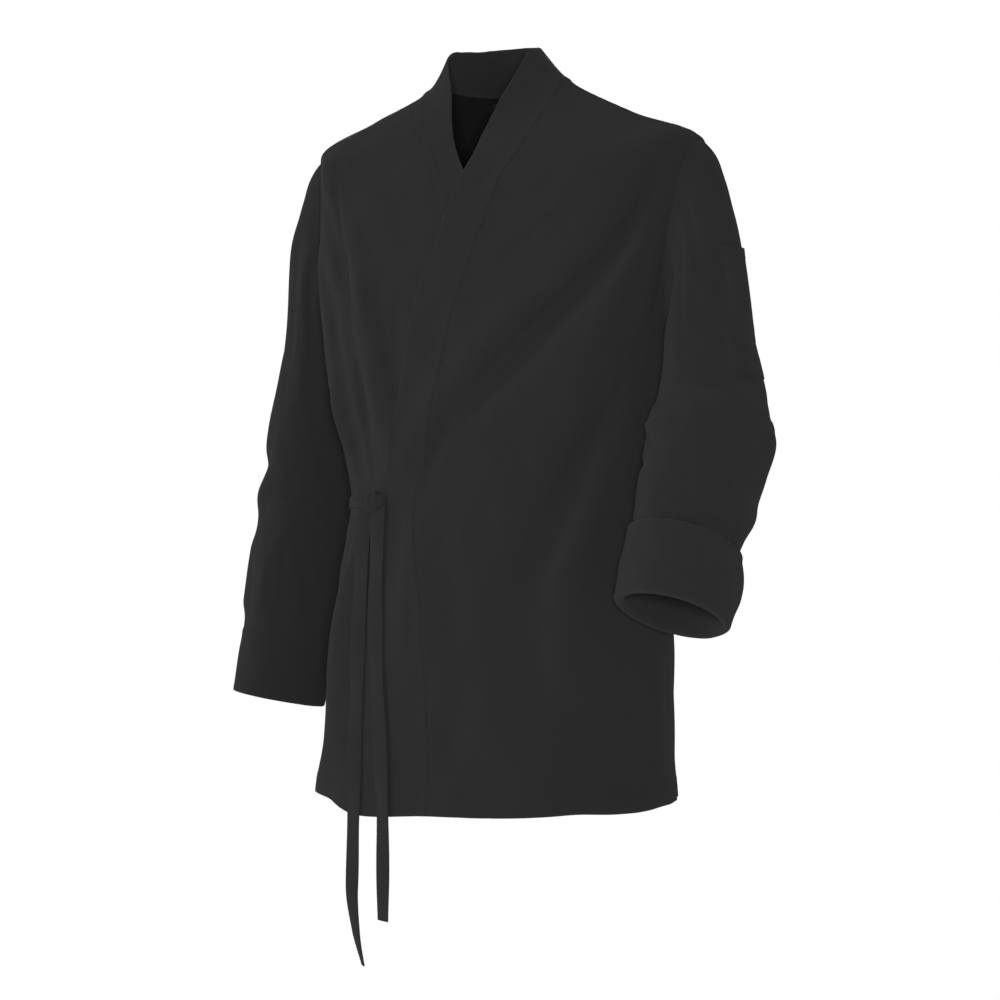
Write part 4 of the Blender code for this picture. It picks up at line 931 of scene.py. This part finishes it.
def sleeveSurface(side):
    table = sleeveForms[side]
    cap, seamNormal, capShare, reach = capRows(side)
    tubeRun = table["end"] * evenRows(table["end"], (), cut["seamEdge"])[1:, None]
    rows = np.concatenate([cap, armRing(side, tubeRun)])
    run = np.concatenate([-reach[None, :] * (1 - capShare[:, None]), tubeRun + 0 * armTurns])
    turn = armTurns[None, :] + 0 * run
    share = np.concatenate([capShare, np.ones(len(tubeRun))])[:, None]
    fade = ease(2 * share) * ease((table["end"] - run) / armForm["cuffCalm"])
    height = foldHeights(table["folds"], turn, run, armForm["foldRadius"])
    rows = rows + (height * fade)[..., None] * gridNormals(rows, side)
    downRun = runs(rows, 0)
    blend = ease(downRun / armForm["seamBlend"])[..., None]
    normal = unit(seamNormal[None] * (1 - blend) + gridNormals(rows, side) * blend)
    ending = towards(armForm["endShare"], 1, ease((table["end"] - run) / armForm["endCalm"]))
    calm = ease(downRun / armForm["seamCalm"]) * ending
    fine = calm * (foldHeights(table["creases"], turn, run, armForm["foldRadius"],
                               foldTaper["crease"])
                   + slackHeights(armForm["slack"], turn, run))
    return rows, normal, fine


def armRuns(rows):  # down the arm, up from its end, and round it
    down = runs(rows, 0)
    return down, down[-1:] - down, np.radians(armTurns)[None, :] * armForm["foldRadius"] + 0 * down


def flipFor(side, *grids):  # the right arm's grids run the other way round
    return [grid if side > 0 else grid[:, ::-1] for grid in grids]


def closeRing(*grids):
    return [np.concatenate([grid, grid[:, :1]], axis=1) for grid in grids]


def makeSleeve(side):
    form = armForm
    rows, normal, fine = sleeveSurface(side)
    down, fromEnd, around = armRuns(rows)
    top = np.clip(np.cos(np.radians(armTurns)), 0, 1)
    relief = (seamRelief(down, around, 1.3 * side, *form["headSeam"])
              + top * pucker(form["gathers"], around, down, side)
              + seamRelief(fromEnd, around, 0.6 * side, *form["endSeam"]))
    rows, normal, fine, relief, wear = flipFor(side, rows, normal, fine, relief,
                                               form["wear"] * wearAt(down))
    piece, _ = clothShell(sleeveForms[side]["name"], rows, normal, cut["panelWall"],
                          fine + relief, fine, 1.0, wear, ring=True)
    return piece, (rows, normal, fine)


sleeveLeft, leftArm = makeSleeve(1)
sleeveRight, _ = makeSleeve(-1)

cuffRightForm = {
    "start": 295, "end": 362, "seam": (0.9, 0.5), "calm": 25, "seamWear": 0.4,
    "edgeStitch": 5.0, "edgeWave": (0.2, 12, 1.1, 5, 4),
    "slack": ((4, 6.0, 0.5, 0.3), (7, -9.0, 0.3, 1.6), (12, 20.0, 0.15, 2.2)),
}


def makeCuffRight():
    form, length = cuffRightForm, cuffRightForm["end"] - cuffRightForm["start"]
    run = form["start"] + length * evenRows(length, cut["seamEdge"], cut["freeEdge"])[:, None]
    rows = armRing(-1, run)
    down, fromEnd, around = armRuns(rows)
    fine = slackHeights(form["slack"], armTurns[None, :], run) * ease(down / form["calm"])
    relief = (seamRelief(down, around, 0.4, *form["seam"])
              + stitchRelief(down, around, cut["seamStitch"], 0.0)
              + stitchRelief(fromEnd, around, form["edgeStitch"], 1.0)
              + pucker(form["edgeWave"], around, fromEnd, 0.7))
    rows, normal, fine, relief, left, wear = flipFor(
        -1, rows, gridNormals(rows, -1), fine, relief, rounding(fromEnd, cut["cuffWall"]),
        wearAt(fromEnd) + form["seamWear"] * wearAt(down))
    piece, outer = clothShell("cuffRightCloth", rows, normal, cut["cuffWall"],
                              fine + relief, fine, left, wear, ring=True)
    stitchAlong("cuff", *closeRing(outer, normal), cut["seamStitch"], 0)
    stitchAlong("cuff", *closeRing(outer, normal), form["edgeStitch"], 0, True)
    return piece


cuffRight = makeCuffRight()

cuffLeftForm = {   # turned back: it runs down inside, bends and climbs again outside
    "depth": 74, "fold": 4, "flare": -2.0, "bulge": 4.0, "bends": 14,
    "foldWear": 0.6, "foldWearReach": 3, "seam": (0.6, 0.1), "edgeStitch": 3.0,
    "edgeWave": (0.35, 14, 1.2, 4, 5),
    "slack": ((3, 5.0, 0.6, 0.9), (6, -8.0, 0.4, 2.4), (11, 18.0, 0.2, 0.3)),
    "buckles": (
        (100, 205, 60, 262, 0, -1.1, 8, 9, 0.3), (60, 210, 20, 250, 0, 0.9, 8, 9, 0),
        (10, 206, 30, 258, 0, -0.9, 8, 9, 0), (150, 208, 130, 262, 0, 0.8, 8, 9, 0),
        (-40, 206, -30, 256, 0, -0.9, 9, 9, 0), (-100, 208, -90, 256, 0, 0.8, 9, 9, 0),
        (-150, 206, -160, 256, 0, -0.9, 9, 9, 0),
    ),
}


def makeCuffLeft():
    form, fold, start = cuffLeftForm, cuffLeftForm["fold"], sleeveForms[1]["end"]
    foldRun = sleeveForms[1]["rows"][-1][0] - fold
    bends = np.radians(np.linspace(0, 180, form["bends"] + 1))
    inRun = towards(start, foldRun, evenRows(foldRun - start, cut["seamEdge"])[:-1])
    turnedBack = form["depth"] - fold
    outRun = foldRun - turnedBack * evenRows(turnedBack, (), cut["freeEdge"])[1:]
    run = np.concatenate([inRun, foldRun + fold * np.sin(bends), outRun])[:, None] + 0 * armTurns
    climb = (foldRun - outRun) / form["depth"]
    bulge = form["bulge"] * np.sin(np.pi * climb) ** 2
    standOff = np.concatenate([0 * inRun, fold * (1 - np.cos(bends)),
                               2 * fold + form["flare"] * climb + bulge])[:, None] + 0 * armTurns
    rows = armRing(1, run, standOff)
    normal = gridNormals(rows, 1)
    down, fromEnd, around = armRuns(rows)
    fine = ease((standOff - fold) / fold) * (
        foldHeights(form["buckles"], armTurns[None, :] + 0 * run, run, armForm["foldRadius"])
        + slackHeights(form["slack"], armTurns[None, :], run))
    relief = (stitchRelief(fromEnd, around, form["edgeStitch"], 0.4)
              + seamRelief(down, around, 0.8, *form["seam"])
              + pucker(form["edgeWave"], around, fromEnd, 1.9))
    atFold = bell(down - (foldRun - start) - 0.5 * np.pi * fold, 0, form["foldWearReach"])
    wear = wearAt(fromEnd) + form["foldWear"] * atFold
    piece, outer = clothShell("cuffLeftCloth", rows, normal, cut["cuffWall"],
                              fine + relief, fine, rounding(fromEnd, cut["cuffWall"]), wear,
                              ring=True)
    stitchAlong("cuff", *closeRing(outer, normal), form["edgeStitch"], 0, True)
    return piece


cuffLeft = makeCuffLeft()

pocketForm = {
    "turns": (55.38, -41.54), "topZ": -171, "bottomZ": -298, "wall": 0.8, "wear": 0.3,
    "hem": 9, "hemEdge": (8.5, 9.0, 9.5, 10.2, 11), "hemStep": 0.25, "hemRamp": (0.2, 1.2),
    "edgeStitch": 1.8,
    "seat": 0.12, "gap": 0.3, "gapReach": 7, "gape": 2.2, "gapeReach": 16,
    "edgeWave": (0.18, 12, 1.2, 3, 4),
}


def makeArmPocket():
    form, wall = pocketForm, pocketForm["wall"]
    rows, normal, fine = leftArm
    first, last = form["turns"]
    width, height = np.radians(first - last) * armForm["foldRadius"], form["topZ"] - form["bottomZ"]
    turns = towards(first, last, evenRows(width, cut["freeEdge"], cut["freeEdge"]))
    levels = evenRows(height, cut["freeEdge"], cut["freeEdge"] + form["hemEdge"])
    wantedZ = form["bottomZ"] + height * levels
    surface = rows + fine[..., None] * normal
    middle = np.zeros((len(wantedZ), len(turns), 3))
    facing = np.zeros(middle.shape)
    for place, turn in enumerate(turns):    # the sleeve's own points between two of its columns
        steps = turn / (360 / len(armTurns))
        start = int(np.floor(steps)) % len(armTurns)
        after, part = (start + 1) % len(armTurns), steps % 1
        column = surface[:, start] * (1 - part) + surface[:, after] * part
        lean = normal[:, start] * (1 - part) + normal[:, after] * part
        order = column[:, 2].argsort()
        for k in range(3):
            middle[:, place, k] = np.interp(wantedZ, column[order, 2], column[order, k])
            facing[:, place, k] = np.interp(wantedZ, column[order, 2], lean[order, k])
    facing = unit(facing)
    across, up, top, near, far = edgeRuns(middle)
    sides = np.minimum(near, far)
    sewn = np.minimum(sides, up)    # sewn down at the sides and foot, free at the top
    gape = form["gape"] * np.sin(np.pi * across / across[:, -1:]) * np.exp(-top / form["gapeReach"])
    sitting = form["gap"] * ease(sewn / form["gapReach"]) + form["seat"]
    middle = middle + (cut["panelWall"] / 2 + sitting + wall / 2 + gape)[..., None] * facing
    beyond, ramp = form["hemRamp"]
    relief = (stitchRelief(sewn, up + across, form["edgeStitch"], 0.2)
              + stitchRelief(top, across, form["hem"], 1.2)
              + form["hemStep"] * (1 - ease((top - form["hem"] - beyond) / ramp))
              + pucker(form["edgeWave"], up + across, sewn, 0.9))
    piece, outer = clothShell("armPocketCloth", middle, facing, wall, relief, 0.0,
                              rounding(np.minimum(sewn, top), wall),
                              form["wear"] * wearAt(sides, up, top))
    for axis, fromEnd in ((1, False), (1, True), (0, False)):
        stitchAlong("pocket", outer, facing, form["edgeStitch"], axis, fromEnd)
    stitchAlong("pocket", outer, facing, form["hem"], 0, True)
    return piece


armPocket = makeArmPocket()

tieForm = {
    "width": 18, "waistLevel": 297, "waistAngles": (-87, -36.6), "waistRows": 60,
    "riseAngle": -45, "rise": 6.5, "gap": 0.4,
    "gathered": 0.45, "gatherAngles": (12, 34), "follow": 0.4,
    "stitch": 2.0, "wave": 0.22, "waveLength": 19, "waveDrift": 1.3, "waveStart": 3,
}
tailForm = {
    "columns": ("z", "x", "standOff", "turn"), "facing": -12,
    "sway": 0.5, "swayLength": 150, "twist": 5, "twistLength": 118, "bow": 0.5,
    "frontAngles": (-50, 10, 121), "frontLevels": (-20, 330, 176),  # where the front is felt for
    "knots": 15, "evenedOver": 5,
}
tailForms = {
    "tieTailLongCloth": {
        "wave": 0.4, "columns": tailForm["columns"],
        "rows": (
            (-866, -84, 4.5, 40), (-835, -91.5, 5.2, 22), (-790, -97, 5.8, 12), (-718, -97, 6, 4),
            (-640, -100, 6, 0), (-565, -101, 6, 0), (-480, -100, 6.5, 0), (-450, -98, 8.5, 0),
            (-430, -92.5, 9.5, 0), (-418, -90, 7.5, 0),
        ),
    },
    "tieTailShortCloth": {
        "wave": 2.1, "columns": tailForm["columns"],
        "rows": (
            (-820, -55, 8.5, 12), (-770, -56, 8.5, 10), (-718, -57, 8.5, 7), (-640, -64, 8.5, 2),
            (-565, -71, 8.5, 0), (-480, -75, 8.8, 0), (-450, -75.5, 9.5, 0), (-430, -76, 9.5, 0),
            (-418, -77, 7.5, 0),
        ),
    },
}
stripShares = evenRows(tieForm["width"], cut["freeEdge"][:-2], cut["freeEdge"][:-2])


def stripShell(name, middle, normal, ends=(True, True)):
    form = tieForm
    across, up, top, near, far = edgeRuns(middle)
    sides = np.minimum(near, far)
    wave = form["wave"] * ripple(up + 2 * across, form["waveLength"], form["waveDrift"], len(name))
    relief = (stitchRelief(sides, up, form["stitch"], 0.6)
              + wave * ease(sides / form["waveStart"]))
    left = rounding(sides, cut["tieWall"])
    for walked, free in zip((up, top), ends):
        if free:
            left = np.minimum(left, rounding(walked, cut["tieWall"]))
    piece, outer = clothShell(name, middle, normal, cut["tieWall"], relief, 0.0, left,
                              wearAt(sides), finish=tieCloth)
    for fromEnd in (False, True):
        stitchAlong("tie", outer, normal, form["stitch"], 1, fromEnd)
    return piece


def makeTieWaist():
    form = tieForm
    first, last = form["waistAngles"]
    angle = np.linspace(first, last, form["waistRows"])[None, :]
    rise = ease((angle - form["riseAngle"]) / (last - form["riseAngle"]))
    start, whole = form["gatherAngles"]
    narrow = 1 - (1 - form["gathered"]) * ease((angle - first - start) / (whole - start))
    level = form["waistLevel"] + form["width"] * (stripShares - 0.5)[:, None] * narrow
    angle = angle + 0 * level
    lift = cut["panelWall"] / 2 + cut["tieWall"] / 2 + form["gap"] + form["rise"] * rise
    normal = normalsOf(torso, angle, level)
    # the tie sinks part of the way into the creases
    lift = lift + form["follow"] * torsoCreases(angle, level)
    middle = torso(angle, level) + lift[..., None] * normal
    # turned so that its rows run along the tie
    middle, normal = (grid.swapaxes(0, 1)[:, ::-1] for grid in (middle, normal))
    return stripShell("tieWaistCloth", middle, normal, (False, False))


def formFront(x, z):  # how far forward the right front lies
    angle, level = np.meshgrid(np.linspace(*tailForm["frontAngles"]),
                               np.linspace(*tailForm["frontLevels"]))
    points = torso(angle, level)
    lowest = points[0, :, 2].max()
    depth = []
    for px, pz in zip(x, z):
        gap = np.hypot(points[..., 0] - px, points[..., 2] - max(pz, lowest))
        depth.append(points[np.unravel_index(gap.argmin(), gap.shape)][1])
    return np.array(depth)


def makeTail(name):
    form, rows = tailForm, tailForms[name]
    top, foot = rows["rows"][-1][0], rows["rows"][0][0]
    knots, over = np.linspace(foot, top, form["knots"]), form["evenedOver"]
    y = formFront(readColumn(rows, "x", knots), knots)
    y = np.convolve(np.pad(y, over // 2, mode="edge"), np.full(over, 1 / over), mode="valid")
    z = towards(foot, top, evenRows(top - foot, cut["freeEdge"]))
    place = readRow(rows, z)
    facingAngle = np.radians(form["facing"])
    facing = np.array([np.sin(facingAngle), -np.cos(facingAngle), 0.0])
    sideways = np.array([-facing[1], facing[0], 0.0])
    climb = 2 * np.pi * (z - foot)
    sway, twist = (form[kind] * np.sin(climb / form[kind + "Length"] + rows["wave"])
                   for kind in ("sway", "twist"))
    middle = (np.stack([place["x"], smooth(knots, y, z), z], -1)
              + (place["standOff"] + sway)[:, None] * facing)
    turn = np.radians(place["turn"] + twist)[:, None]
    across = np.cos(turn) * sideways + np.sin(turn) * facing
    normal = (np.cos(turn) * facing - np.sin(turn) * sideways)[:, None]
    normal = np.repeat(normal, len(stripShares), axis=1)
    bowed = form["bow"] * np.sin(np.pi * stripShares)[None, :, None]
    offset = tieForm["width"] * (stripShares - 0.5)[None, :, None]
    grid = middle[:, None, :] + offset * across[:, None, :] + bowed * normal
    return stripShell(name, grid, normal, (True, False))


tieWaist = makeTieWaist()
tails = {name: makeTail(name) for name in tailForms}

knotForm = {   # a gathered core with one tape turned over another
    "angle": -29.5, "level": 299, "standOff": 11.5, "facing": -8, "wall": 1.6, "wear": 0.8,
    "core": (12, 4.0, 6), "coreWall": 1.2, "crumple": 0.06, "coreMouth": 0.12,
    "pinch": 0.22, "crown": 0.175, "alongShape": 0.8, "outShape": 0.6, "pleatDrift": 0.6,
    "turnGrid": (25, 72), "coreGrid": (19, 40),     # across and round
    "turns": (  # half sizes along and out, width, tilt, shift sideways and up, lengthwise pleats
        {"along": 14.5, "out": 4.4, "width": 14, "tilt": 86, "shift": (2.5, 0), "pleats": 2,
         "height": 0.4},
        {"along": 10.5, "out": 5.2, "width": 20, "tilt": -7, "shift": (1.8, 0), "pleats": 2,
         "height": 0.22},
    ),
}


def facingOut(grid, centre):
    normal = gridNormals(grid, 1)
    outwards = (normal * (grid - centre)).sum() >= 0
    return (grid, normal) if outwards else (grid[:, ::-1], -normal[:, ::-1])


def makeKnot():
    form = knotForm
    angle, level = np.array([float(form["angle"])]), np.array([float(form["level"])])
    centre = torso(angle, level)[0] + form["standOff"] * normalsOf(torsoBase, angle, level)[0]
    facing = np.radians(form["facing"])
    outward, up = np.array([np.sin(facing), -np.cos(facing), 0]), np.array([0, 0, 1.0])
    sideways = np.cross(up, outward)

    def placed(start, *parts):  # amounts along each axis, from a place
        return start + sum(amount[..., None] * axis for amount, axis in parts)

    pieces = []
    strips, steps = form["turnGrid"]
    for number, tape in enumerate(form["turns"]):
        tilt = np.radians(tape["tilt"])
        alongAxis = np.cos(tilt) * up + np.sin(tilt) * sideways
        wideAxis = -np.sin(tilt) * up + np.cos(tilt) * sideways
        t = np.linspace(0, 2 * np.pi, steps, endpoint=False)[None, :]
        share = np.linspace(-0.5, 0.5, strips)[:, None]
        crown = 1 - form["crown"] * np.abs(2 * share) ** 3
        pleat = tape["height"] * np.cos(2 * np.pi * tape["pleats"] * share
                                        + form["pleatDrift"] * np.sin(2 * t + number))
        length = tape["along"] * np.sign(np.sin(t)) * np.abs(np.sin(t)) ** form["alongShape"]
        depth = tape["out"] * np.sign(np.cos(t)) * np.abs(np.cos(t)) ** form["outShape"]
        along, out = length * crown, (depth + pleat * np.cos(t)) * crown
        wide = tape["width"] * share * (1 - form["pinch"] * np.sin(t) ** 2)
        start = centre + tape["shift"][0] * sideways + tape["shift"][1] * up
        grid = placed(start, (along, alongAxis), (out, outward), (wide, wideAxis))
        grid, normal = facingOut(grid, grid.mean(axis=(0, 1)))
        walked = runs(grid, 0)
        sides = np.minimum(walked, walked[-1:] - walked)
        pieces.append(clothShell("knotTurn", grid, normal, form["wall"],
                                 left=rounding(sides, form["wall"]),
                                 wear=form["wear"] * wearAt(sides), ring=True, finish=tieCloth)[0])
    reach = 0.5 * np.pi - form["coreMouth"]
    strips, steps = form["coreGrid"]
    lat = np.linspace(-reach, reach, strips)[:, None]
    lon = np.linspace(0, 2 * np.pi, steps, endpoint=False)[None, :]
    crumple = 1 + form["crumple"] * np.sin(5 * lon + 2 * np.sin(3 * lat)) * np.cos(lat)
    wide, deep, tall = form["core"]
    grid = placed(centre, (wide * np.cos(lat) * np.cos(lon) * crumple, sideways),
                  (deep * np.cos(lat) * np.sin(lon) * crumple, outward),
                  (tall * np.sin(lat) * np.ones_like(lon), up))
    pieces.append(clothShell("knotCore", *facingOut(grid, centre), form["coreWall"], ring=True,
                             finish=tieCloth)[0])
    bpy.ops.object.select_all(action="DESELECT")
    for piece in pieces:
        piece.select_set(True)
    bpy.context.view_layer.objects.active = pieces[0]
    bpy.ops.object.join()
    knot = bpy.context.view_layer.objects.active
    knot.name = knot.data.name = "tieKnotCloth"
    return knot


tieKnot = makeKnot()

loopForm = {
    "angles": (150, 210), "columns": 50, "levels": (799, 806), "offset": -1.9, "wall": 1.0,
    "sag": 1.4, "sagOut": 0.3,
}


def makeLoop():  # hanger loop, inside the back of the neck
    form = loopForm
    low, high = form["levels"]
    angle = np.linspace(*form["angles"], form["columns"])[:, None]
    share = evenRows(high - low, cut["freeEdge"][:5], cut["freeEdge"][:5])
    sag = form["sag"] * np.sin(np.pi * np.linspace(0, 1, len(angle)))[:, None]
    angle, level = angle + 0 * share, towards(low, high, share[None, :]) - sag
    normal = -normalsOf(torso, angle, level)
    middle = torso(angle, level) - (form["offset"] - form["sagOut"] * sag)[..., None] * normal
    _, _, _, near, far = edgeRuns(middle)
    sides = np.minimum(near, far)
    left = rounding(sides, form["wall"])
    return clothShell("hangerLoopTape", middle, normal, form["wall"], left=left,
                      wear=wearAt(sides), finish=loopTape)[0]


hangerLoop = makeLoop()

stitchForm = {
    "length": 2.2, "sides": 5, "radius": 0.24, "pitch": 3.0, "dive": 0.32, "proud": 0.08,
    "rings": ((-0.5, 1, 0.6), (-0.3, 0, 1), (0.3, 0, 1), (0.5, 1, 0.6)),    # place, dive and size
    "skew": 0.05, "skewRate": 12.9898, "lastGap": 1.5,
}


def makeStitch():  # one stitch of thread, whose ends dive into the cloth and thin out
    form, count, rings = stitchForm, stitchForm["sides"], []
    turn = 2 * np.pi * np.arange(count) / count
    across, up = form["radius"] * np.cos(turn), form["radius"] * np.sin(turn)
    middle = (across.max() + across.min()) / 2
    for place, dive, size in form["rings"]:
        along = np.full(count, place * form["length"])
        sideways = middle + size * (across - middle)
        rings.append(np.stack([along, sideways, size * up - dive * form["dive"]], -1))
    faces = [[ring * count + k, ring * count + (k + 1) % count,
              (ring + 1) * count + (k + 1) % count, (ring + 1) * count + k]
             for ring in range(len(rings) - 1) for k in range(count)]
    last = (len(rings) - 1) * count
    caps = [list(range(count))[::-1], list(range(last, last + count))]
    return np.concatenate(rings), faces + caps


stitchPoints, stitchFaces = makeStitch()


def sew(name, lines):
    points, faces, total = [], [], 0
    for line, facing in lines:
        walked = np.concatenate([[0], np.cumsum(np.linalg.norm(np.diff(line, axis=0), axis=1))])
        pitch, end = stitchForm["pitch"], walked[-1] - stitchForm["lastGap"]
        places = np.arange(pitch, end, pitch)

        def walk(values, ahead=0):
            return np.stack([np.interp(places + ahead, walked, values[:, k]) for k in range(3)], -1)

        normal = unit(walk(facing))
        forward = unit(walk(line, 1) - walk(line, -1))
        forward = unit(forward - (forward * normal).sum(-1, keepdims=True) * normal)
        sideways = np.cross(normal, forward)
        # no two stitches lie quite alike
        skew = stitchForm["skew"] * np.sin(places * stitchForm["skewRate"])[:, None]
        forward, sideways = unit(forward + skew * sideways), unit(sideways - skew * forward)
        placed = (walk(line)[:, None, :] + stitchPoints[None, :, :1] * forward[:, None, :]
                  + stitchPoints[None, :, 1:2] * sideways[:, None, :]
                  + (stitchPoints[None, :, 2:] + stitchForm["proud"]) * normal[:, None, :])
        points.append(placed.reshape(-1, 3))
        for first in range(total, total + len(places) * len(stitchPoints), len(stitchPoints)):
            faces.extend([[first + v for v in face] for face in stitchFaces])
        total += len(places) * len(stitchPoints)
    piece = makeMesh(name, np.concatenate(points), faces, sewingThread)
    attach(piece, "root")


for kind, lines in stitchLines.items():
    sew(kind + "Stitches", lines)

sheets = {   # node: piece, flat size and true area of its cut, how it is held, what it rests on
    "front_left": (frontLeft, (0.300, 0.773), 0.174, "hung", ["back", "band_left"]),
    "front_right": (frontRight, (0.304, 0.773), 0.177, "hung", ["back", "band_right"]),
    "back": (back, (0.538, 0.804), 0.339, "hung", ["band_left", "band_right"]),
    "band_left": (bandLeft, (0.048, 0.888), None, "hung", ["front_left", "back"]),
    "band_right": (bandRight, (0.048, 0.888), None, "hung", ["front_right", "back"]),
    "sleeve_left": (sleeveLeft, (0.453, 0.475), 0.135, "hung", ["front_left", "back"]),
    "sleeve_right": (sleeveRight, (0.464, 0.517), 0.153, "hung", ["front_right", "back"]),
    "cuff_right": (cuffRight, (0.320, 0.068), None, "hung", ["sleeve_right"]),
    "cuff_left": (cuffLeft, (0.370, 0.107), 0.0365, "folded", ["sleeve_left"]),
    "arm_pocket": (armPocket, (0.105, 0.133), None, "laid", ["sleeve_left"]),
    "tie_waist": (tieWaist, (0.018, 0.12), None, "laid", ["front_right"]),
    "tie_tail_long": (tails["tieTailLongCloth"], (0.018, 0.452), None, "hung", ["tie_knot"]),
    "tie_tail_short": (tails["tieTailShortCloth"], (0.018, 0.404), None, "hung", ["tie_knot"]),
    "tie_knot": (tieKnot, (0.018, 0.14), None, "folded", ["tie_waist"]),
    "hanger_loop": (hangerLoop, (0.010, 0.088), 0.00055, "laid", ["back"]),
}
for node, (piece, flat, area, held, restsOn) in sheets.items():
    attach(piece, "root")
    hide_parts(node)

studio = {
    "azimuth": 28, "distance": 2.8, "lens": 100.8, "target": (-0.0044, -0.0023, -0.414),
    "floorZ": -0.93, "floorRadius": 9, "floorGlow": 0.4, "ambient": 0.3,
    "lights": {
        "cameraLight": {"place": (1.26, -2.42, -0.36), "size": 0.5, "power": 63},
        "frontLight": {"place": (-0.9, -2.6, -0.1), "size": 1.8, "power": 27},
        "leftLight": {"place": (-2.8, -0.5, -0.3), "size": 2.0, "power": 22},
        "backLight": {"place": (-1.3, 2.4, 0.1), "size": 1.6, "power": 95},
    },
}
target = Vector(studio["target"])


def addAimed(name, data, place):  # a camera or light that looks at the jacket
    thing = bpy.data.objects.new(name, data)
    thing.location = place
    thing.rotation_euler = (target - thing.location).to_track_quat("-Z", "Y").to_euler()
    bpy.context.scene.collection.objects.link(thing)
    return thing


turn = np.radians(studio["azimuth"])
lens = bpy.data.cameras.new("studioCamera")
lens.sensor_width, lens.lens = 36, studio["lens"]
bpy.context.scene.camera = addAimed("studioCamera", lens,
                                    target + studio["distance"]
                                    * Vector((np.sin(turn), -np.cos(turn), 0)))
for lightName, form in studio["lights"].items():
    lamp = bpy.data.lights.new(lightName, "AREA")
    lamp.shape, lamp.size, lamp.energy = "DISK", form["size"], form["power"]
    addAimed(lightName, lamp, form["place"])


def glowWhite(owner, kind, outputKind, strength):  # white where it is seen, gentler where it lights
    board = Board(owner)
    seen = board.node("ShaderNodeLightPath")
    glow = board.node(kind, None, {"Color": (1, 1, 1, 1),
                                   "Strength": seen * (1 - strength) + strength})
    board.node(outputKind, None, {"Surface": glow})


bpy.ops.object.select_all(action="DESELECT")
bpy.ops.mesh.primitive_circle_add(vertices=96, radius=studio["floorRadius"], fill_type="NGON",
                                  location=(0, 0, studio["floorZ"]))
floor = bpy.context.object
floor.name = "studioFloor"
bpy.ops.object.transform_apply(location=True, rotation=False, scale=False)
paint = bpy.data.materials.new("studioFloorWhite")
glowWhite(paint, "ShaderNodeEmission", "ShaderNodeOutputMaterial", studio["floorGlow"])
floor.data.materials.append(paint)
world = bpy.data.worlds.new("studioSky")
glowWhite(world, "ShaderNodeBackground", "ShaderNodeOutputWorld", studio["ambient"])
bpy.context.scene.world = world
view = bpy.context.scene.view_settings
view.view_transform, view.look, view.exposure, view.gamma = "Standard", "None", 0, 1
print("studio set")
